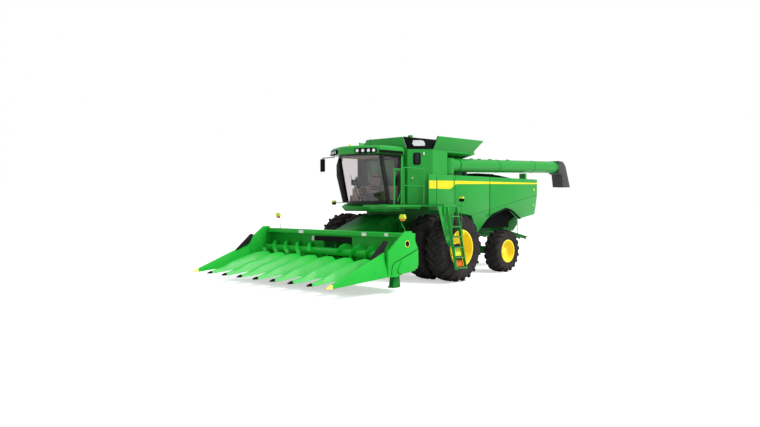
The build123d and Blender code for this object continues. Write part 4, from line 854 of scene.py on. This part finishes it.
# header lamps: lime hood over an amber front, on bent stalks
hoodEdge = ((-0.118, 1.985), (-0.075, 2.1), (0.075, 2.1), (0.118, 1.985))
lensEdge = ((-0.095, 1.987), (0.095, 1.987), (0.07, 1.92), (-0.07, 1.92))
stalks, limeParts, lenses = [], [], []
for y, side in ((2.9, 1), (-2.62, -1)):
    stalks.append(tube([(4.2, y, 1.586), (4.2, y, 1.7), (4.24, y - side * 0.11, 1.845), (4.28, y, 1.96)], 0.01, 0.1))
    limeParts.append(slab(atFront(hoodEdge, 4.256, y), (0.066, 0, 0), 0.012, 3))
    lenses.append(slab(atFront(lensEdge, 4.262, y), (0.054, 0, 0), 0.014, 3))
worn("headerLampStalks", greenPaint, *stalks, body="feeder", replaced=("header_lamps",))
worn("headerLampHoods", lime, *limeParts, body="feeder")
worn("headerLampFronts", amber, *lenses, body="feeder")
print("lamps done")

# grain tank: window, lamps and bare badge on the chamfered corner
chamferOut = Vector((0.704, 0.71, 0)) * 0.004
tankFace = {
    "windowBezel": (
        (1.885, 3.62), (1.765, 3.62), (1.742, 3.66), (1.742, 3.96), (1.765, 4.0), (1.885, 4.0), (1.908, 3.96),
        (1.908, 3.66)
    ), "shadedWindowPane": ((1.872, 3.66), (1.778, 3.66), (1.778, 3.965), (1.872, 3.965)),
    "tankLampTop": ((1.685, 3.925), (1.655, 3.925), (1.655, 4.01), (1.685, 4.01)),
    "tankLampLow": ((1.945, 3.175), (1.915, 3.175), (1.915, 3.22), (1.945, 3.22))
}


def onChamfer(part, proud, edge):
    corners = [(x + chamferOut.x, 1.06 + (2.035 - x) * 0.991 + chamferOut.y, z) for x, z in tankFace[part]]
    return slab(corners, chamferOut * proud, edge)


worn("tankWindowBezel", blackTrim, onChamfer("windowBezel", 3, 0.004))
# the pane is opaque dark paint: painted shade of the tank's inside behind the glass
worn("tankWindowShadePane", (darkFrame, "glass"), onChamfer("shadedWindowPane", 4, 0.002))
worn("tankLamps", clearLens, onChamfer("tankLampTop", 5, 0.006), onChamfer("tankLampLow", 5, 0.006))
badge = {
    "edge": (
        (1.925, 1.197, 4.39), (1.75, 1.372, 4.392), (1.69, 1.43, 4.37), (1.655, 1.447, 4.3), (1.644, 1.436, 4.222),
        (1.72, 1.36, 4.218), (1.885, 1.195, 4.218), (1.93, 1.16, 4.29)
    ), "out": Vector((0.64, 0.66, -0.2)).normalized(), "proud": 0.03, "thick": 0.002
}
badgeEdge = [Vector(place) + badge["out"] * badge["proud"] for place in badge["edge"]]
worn("cornerBadge", clearLens, slab(badgeEdge, badge["out"] * badge["thick"], 0))
knob = [(0, 0), (0, 0.08), (0.03, 0.085), (0.05, 0.07), (0.055, 0)]
worn("tankTopKnob", greenPaint, spun(knob, (2.0, 1.15, 4.49), 24, "Z"))


# header: badges, seams, covers and deflectors at its ends, decals and throat
endShield = {
    "face": 3.2055, "badge": (4.44, 1.315), "coverFoot": 3.205, "deflectorOut": 3.057, "gussetOut": 3.105,
    "seam": ((3.985, 1.165), (4.96, 0.83), (5.03, 0.74), (5.06, 0.52)),
    "cover": (
        (4.06, 0.64), (4.02, 0.89), (4.09, 1.06), (4.19, 1.075), (4.67, 0.895), (4.84, 0.64), (4.8, 0.56),
        (4.7, 0.52), (4.28, 0.56)
    ), "deflector": ((5.184, 1.1205), (5.02, 1.39), (5.1, 1.42), (5.67, 0.933)),
    "gusset": ((4.03, 1.1), (4.03, 1.58), (4.32, 1.58), (4.12, 1.1))
}
badges, badgeRims, seams, covers, flaps = [], [], [], [], []
for side in (1, -1):
    y = side * endShield["face"]
    centre = (endShield["badge"][0], y, endShield["badge"][1])
    disc = [(0, 0), (0, 0.078), (side * 0.006, 0.076), (side * 0.006, 0)]
    ring = [(0, 0.078), (0, 0.092), (side * 0.008, 0.09), (side * 0.008, 0.078)]
    badges.append(spun(disc, centre, 32))
    badgeRims.append(spun(ring, centre, 32))
    seams.append(tube(atSide(endShield["seam"], y), 0.009, 0.08))
    coverFoot = atSide(endShield["cover"], side * endShield["coverFoot"])
    covers.append(slab(coverFoot, (0, side * 0.041, 0), 0.03, 4))
    flapEdge = atSide(endShield["deflector"], side * endShield["deflectorOut"])
    flaps.append(slab(flapEdge, (0, side * -0.1, 0), 0.008, 3))
worn("shieldBadges", blackTrim, *badges, body="feeder")
worn("shieldBadgeRims", (yellowMoulding, "yellow_plastic"), *badgeRims, body="feeder")
worn("shieldSeams", blackTrim, *seams, body="feeder")
worn("deflectorFlaps", rubberSheet, *flaps, body="feeder", replaced=("rubber_deflectors",))
worn("driveCovers", litGreenPanel, *covers, body="feeder")


def decal(x, low, high):
    return block((x, *low), (x + 0.002, *high), 0.0006, 1)


worn(
    "beamDecals", (whiteLens, "yellow_plastic"), decal(4.36, (-1.47, 1.47), (-1.25, 1.56)),
    decal(4.36, (1.37, 1.47), (1.56, 1.565)), decal(4.36, (2.28, 1.49), (2.42, 1.57)),
    decal(4.0505, (-1.2, 1.235), (-1.09, 1.385)), body="feeder"
)
gussets = [
    slab(atSide(endShield["gusset"], side * endShield["gussetOut"]), (0, side * 0.006, 0), 0.001, 1)
    for side in (1, -1)
]
worn("headerEndGussets", litGreenPanel, *gussets, body="feeder")
throat = ((-1.07, 1.385), (0.58, 1.385), (0.58, 1.05), (0.365, 1.04), (0.365, 1.245), (-1.07, 1.235))
worn("throatGuard", rubberSheet, slab(atFront(throat, 4.051), (0.006, 0, 0), 0.002), body="feeder")
chain = {"rows": 8, "lugs": 7, "start": 4.92, "pitch": 0.14, "out": 0.055, "z": 0.565, "lowFrom": 5, "lowZ": 0.525}
lugs, plates = [], []
lug = block((0, -0.022, 0), (0.03, 0.022, 0.055), 0.006, 1)
for row in range(chain["rows"]):
    middle = (row - 3.5) * rowPitch
    for side in (1, -1):
        y = middle + side * 0.075
        plates.append(block((4.86, y - 0.045, 0.5605), (5.62, y + 0.045, 0.5665), 0.002, 1))
        for count in range(chain["lugs"]):
            z = chain["z"] if count < chain["lowFrom"] else chain["lowZ"]
            lugs.append(copied(lug, shift(chain["start"] + count * chain["pitch"], middle + side * chain["out"], z)))
bpy.data.objects.remove(lug)
worn("deckPlates", bareSteel, *plates, body="feeder")
worn("gatheringLugs", (castIron, "steel"), *lugs, body="feeder")
print("header done")

# side panels: arch trim and liner, reflectors, crease and seam
panel = {"face": 1.6615, "sunk": 1.658, "liner": 1.2}
archEdge = ((-1.62, 1.9), (-1.72, 1.99), (-2.59, 2.22), (-2.94, 2.13), (-3.47, 1.84))
archWall = (
    (-1.6, 1.53), (-1.6, 1.96), (-1.78, 2.08), (-2.6, 2.3), (-3.75, 2.34), (-3.75, 2.02), (-3.4, 1.86), (-3.4, 1.53)
)
creaseLine = {"x": -0.41, "z": 1.99, "rise": 0.173, "front": (-0.62, -1.53), "rear": (-1.57, -4.6)}


def onPanel(side, low, high, proud=0.001):
    y = side * panel["face"]
    return block((low[0], y - proud, low[1]), (high[0], y + proud, high[1]), 0.0006, 1)


for side, word in sides:
    rearShield = "shield_rear_" + word
    worn("archTrim" + word, blackTrim, tube(atSide(archEdge, side * panel["sunk"]), 0.036, 0.1), body=rearShield)
    worn(
        "rearReflectors" + word, lime, onPanel(side, (-4.46, 2.88), (-4.39, 2.96)),
        onPanel(side, (-4.42, 2.3), (-4.38, 2.36)), body=rearShield
    )
    # pressed crease that climbs to the rear across both shields, drawn in the darker paint as painted shade
    for end in ("front", "rear"):
        crease = [(x, creaseLine["z"] + creaseLine["rise"] * (creaseLine["x"] - x)) for x in creaseLine[end]]
        worn(
            "crease" + end + word, (shadedGreenPaint, "green_panel"), tube(atSide(crease, side * panel["sunk"]), 0.008),
            body="shield_" + end + "_" + word
        )
    worn("splitSeam" + word, blackTrim, onPanel(side, (-1.576, 1.96), (-1.556, 3.16), 0.0015), body=rearShield)
    worn("archLiner" + word, blackTrim, slab(atSide(archWall, side * panel["liner"]), (0, side * 0.012, 0), 0.002, 1))

# ladder: reflecting plates, dark backing and worn treads
ladder = {"top": Vector((2.06, 2.79, 2.29)), "foot": Vector((1.88, 3.005, 0.47)), "steps": 6, "firstStep": 0.015}


def ladderPlate(wide, ends, thick, back=0.0, edge=0.0008):
    corners = []
    for across, z in zip((wide[0], wide[1], wide[1], wide[0]), (ends[0], ends[0], ends[1], ends[1])):
        down = (ladder["top"].z - z) / (ladder["top"].z - ladder["foot"].z)
        corners.append(ladder["top"].lerp(ladder["foot"], down) + Vector((across, -back, 0)))
    return slab(corners, (0, -thick, 0), edge, 1)


worn("ladderPlateYellow", lime, ladderPlate((-0.17, 0.2), (1.08, 0.84), 0.003), body="ladder")
worn(
    "ladderPlateOrange", (orangeReflector, "yellow_plastic"), ladderPlate((-0.17, 0.2), (0.72, 0.53), 0.003),
    body="ladder"
)
worn(
    "ladderBacking", (darkFrame, "black_plastic"), ladderPlate((-0.205, 0.205), (1.2, 0.51), 0.012, 0.006, 0.002),
    body="ladder"
)
treads = []
for step in range(ladder["steps"]):
    x, y, z = ladder["foot"].lerp(ladder["top"], step / ladder["steps"] + ladder["firstStep"])
    treads.append(block((x - 0.225, y - 0.008, z + 0.014), (x + 0.225, y + 0.124, z + 0.023), 0.002, 1))
worn("ladderTreads", bareSteel, *treads, body="ladder")
print("side trim done")

# unloading auger: flange rings and oil pipes; engine deck: dark hood, screen, exhaust
augerLine = {"x": 0.465, "y": 1.4, "z": 3.65, "rise": 0.02793}


def augerHeight(x):
    return augerLine["z"] + (augerLine["x"] - x) * augerLine["rise"]


flanges = []
for x, half, radius in (
    (0, 0.012, 0.247), (-0.03, 0.01, 0.242), (-2.3, 0.02, 0.232), (-4.6, 0.02, 0.232), (-6.18, 0.016, 0.24)
):
    profile = [(-half, 0.222), (-half, radius), (half, radius), (half, 0.222)]
    flanges.append(spun(profile, (x, augerLine["y"], augerHeight(x)), 48, "X"))
worn("augerFlanges", greenPaint, *flanges, body="unloading_auger")
pipes = [tube([(x, y, augerHeight(x) + 0.18) for x in (-0.2, -6.0)], 0.011) for y in (1.22, 1.25)]
brackets = [
    block((x, 1.36, augerHeight(x) + 0.215), (x + 0.12, 1.44, augerHeight(x) + 0.245), 0.008)
    for x in (-0.9, -1.35, -2.0, -3.1)
]
worn("augerPipes", darkSteel, *pipes, body="unloading_auger")
worn("augerLugs", greenPaint, *brackets, body="unloading_auger")
ramp = ((-2.86, 3.31), (-2.86, 3.465), (-3.3, 3.44), (-4.15, 3.35), (-4.15, 3.31))
worn(
    "engineHood", blackTrim, block((-2.89, 0.11, 3.291), (-1.87, 0.91, 3.485), 0.05, 4),
    slab(atSide(ramp, 0.14), (0, 0.75, 0), 0.02, 3)
)
stack = [
    (0.001, 0), (0.001, 0.095), (0.1, 0.095), (0.11, 0.089), (0.62, 0.089), (0.675, 0.085), (0.675, 0.075),
    (0.6, 0.072), (0.6, 0)
]
worn("exhaustStack", darkSteel, spun(stack, (-1.48, 0.62, 3.29), 36, "Z"))
screen = ((-1.04, 3.32), (-1.04, 3.63), (-1.29, 3.74), (-2.6, 3.74), (-2.77, 3.32))
worn(
    "coolingScreen", (darkGrille, "black_plastic"), slab(atSide(screen, -0.4985), (0, 0.012, 0), 0.003),
    slab(atSide(screen, -1.4815), (0, -0.012, 0), 0.003)
)
print("auger and deck done")


# engine deck, rear wall, grain tank inside, platform tread
def barRow(low, high, step, count):
    return [
        block((low[0] + step * turn, *low[1:]), (high[0] + step * turn, *high[1:]), 0.002, 1) for turn in range(count)
    ]


hatches = (
    ((-4.4, -0.95, 3.29), (-3.05, 0.02, 3.308)), ((-1.78, -0.42, 3.29), (-0.98, 0.42, 3.308)),
    ((-4.4, -1.42, 3.29), (-3.05, -1.02, 3.304))
)
latches = (
    ((-3.78, -0.02, 3.308), (-3.66, 0, 3.322)), ((-1.42, 0.36, 3.308), (-1.32, 0.39, 3.322)),
    ((-2.55, 0.905, 3.36), (-2.4, 0.925, 3.39))
)
worn("deckHatches", greenPaint, *[block(low, high, 0.008) for low, high in hatches])
worn("deckLatches", blackTrim, *[block(low, high, 0.005) for low, high in latches])
worn("deckWalkway", bareSteel, *barRow((-4.42, 0.94, 3.2905), (-4.38, 1.12, 3.297), 0.09, 38))


def rearWall(z, out):
    return -4.56 + (3.29 - z) * 0.1774 - out


louvres = []
for count in range(10):
    z = 2.52 + 0.065 * count
    profile = ((rearWall(z, -0.002), z), (rearWall(z, 0.022), z), (rearWall(z + 0.035, -0.002), z + 0.04))
    louvres.append(slab(atSide(profile, -0.85), (0, 1.7, 0), 0.002, 1))
worn("rearLouvres", blackTrim, *louvres)
for name, lensFinish, near, far in (("stop", redLens, 1.18, 1.34), ("turn", amberLens, 1.02, 1.16)):
    lamps = []
    for side in (1, -1):
        outline = [
            (rearWall(z, 0.001), side * y, z) for y, z in ((near, 3.02), (far, 3.02), (far, 3.14), (near, 3.14))
        ]
        lamps.append(slab(outline, (-0.02, 0, 0), 0.008, 3))
    worn("rearLamps" + name, (lensFinish, "amber_lens"), *lamps)
rungs = [
    tube([(2.02, -0.16, z), (1.97, -0.16, z), (1.97, 0.16, z), (2.02, 0.16, z)], 0.011, 0.03)
    for z in (2.75, 3.0, 3.25, 3.5, 3.75, 4.0)
]
boot = [(2.395, 0.3), (2.52, 0.3), (2.66, 0.19), (2.66, 0.165)]
worn(
    "tankAugers", greenPaint, tube([(0.3, 0, 2.4), (0.16, 0, 3.98)], 0.16, roundness=8),
    spun(boot, (0.28, 0, 0), 36, "Z"),
    slab(atSide(((0.62, 2.395), (0.84, 2.66), (1.06, 2.395)), -1.3), (0, 2.6, 0), 0.006), *rungs
)
gussets = []
for side in (1, -1):
    edge = ((-0.62, 1.612, 4.112), (-1.02, 1.772, 4.515), (-0.96, 1.712, 4.515), (-0.728, 1.552, 4.112))
    gussets.append(slab([(x, side * y, z) for x, y, z in edge], (-0.003, -side * 0.002, 0), 0))
worn("flapGussets", rubberSheet, *gussets)
# platform tread bars in the darker copy of the paint: painted shade
worn(
    "platformTread", (shadedGreenPaint, "green_paint"), *barRow((1.8, 1.02, 2.3602), (1.82, 1.86, 2.366), 0.085, 24),
    *barRow((1.8, 1.96, 2.3602), (1.82, 2.7, 2.366), 0.085, 6)
)
grab = (
    (3.491, 2.478), (3.491, 2.779), (3.491, 3.18), (3.417, 3.371), (3.269, 3.376), (3.212, 3.188), (3.167, 2.885),
    (3.249, 2.681), (3.361, 2.478)
)
worn("grabLoop", greenPaint, tube(atSide(grab, 1.86), 0.014, 0.08))
print("deck, rear and tank done")

# sheet-metal and moulded nodes get their pressed, rounded edges
edgeWidths = {
    0.012: (
        "cab_roof", "end_shields", "front_side_panels", "cab_skirt", "feeder_house", "auger_spout", "header_frame"
    ),
    0.008: (
        *shieldNodes, "engine_deck", "platform", "chopper_housing", "roof_lamps", "cab_frame", "divider_tips",
        "snout_tips"
    ), 0.004: ("tank_flaps", "tank_corner_panels", "tailboard", "header_skids", "ladder", "rear_axle", "front_axle")
}
bodyOf = {empty: name for name, empty in frame["bodies"].items()}
for width, names in edgeWidths.items():
    for name in names:
        node = nodes[name]
        softer = copied(node, Matrix(), "pressed_" + name)
        softer.parent = None
        openAll(faceOutwards(softer))
        bpy.ops.mesh.dissolve_limited(angle_limit=radians(1))
        closeEdit()
        rounded(softer, width)
        dress(softer, lookOf[name], bodyOf[node.parent], (name,))
print("edges done")

# cab pillar on the right, seals beside the tank's black panels
pillar = (
    (3.1, 3.92), (3.21, 3.62), (3.2, 3.28), (2.93, 2.43), (2.74, 2.43), (2.92, 3.28), (2.99, 3.62), (2.94, 3.92)
)
worn("rightPillarCover", (pillarTrim, "black_plastic"), slab(atSide(pillar, -0.942), (0, -0.04, 0), 0.012, 3))
# dark bands along the roof's lower side edge: painted shade under the roof's overhang
roofShadeEdge = ((3.36, 1.098), (3.02, 1.134), (2.3, 1.115))
roofShadeStrips = []
for side in (1, -1):
    for near, far in zip(roofShadeEdge, roofShadeEdge[1:]):
        corners = [(x, side * y, z) for (x, y), z in ((near, 3.93), (far, 3.93), (far, 4.02), (near, 4.02))]
        roofShadeStrips.append(slab(corners, (0, side * 0.004, 0), 0.001, 1))
worn("roofShadeBands", blackTrim, *roofShadeStrips)
seals = []
for side in (1, -1):
    for low, high in (((2.023, 1.046, 4.112), (1.963, 0.816, 4.518)), ((1.47, 1.612, 4.112), (1.405, 1.772, 4.518))):
        seals.append(tube([(x, side * y, z) for x, y, z in (low, high)], 0.013))
worn("flapSeals", blackTrim, *seals)

# stripe and blank tag on the left and right panels, as thin film
film = {
    "tagFilm": ((1.7, 3.118), (1.7, 2.868), (0.64, 2.868), (0.352, 3.02), (0.352, 3.14)),
    "stripeFilmFront": ((0.345, 3.143), (0.345, 3.03), (-1.545, 3.075), (-1.545, 3.155)),
    "stripeFilmRear": ((-1.562, 3.155), (-1.562, 3.075), (-4.62, 3.128), (-4.62, 3.178))
}
filmPlane = 1.66
for side, word in sides:
    for name, body in (
        ("tagFilm", "chassis"), ("stripeFilmFront", "shield_front_" + word), ("stripeFilmRear", "shield_rear_" + word)
    ):
        strip = slab(atSide(film[name], side * filmPlane), (0, side * 0.0015, 0), 0)
        worn(name + word, (yellowVinyl, "yellow_paint"), strip, body=body)
print("stripes done")
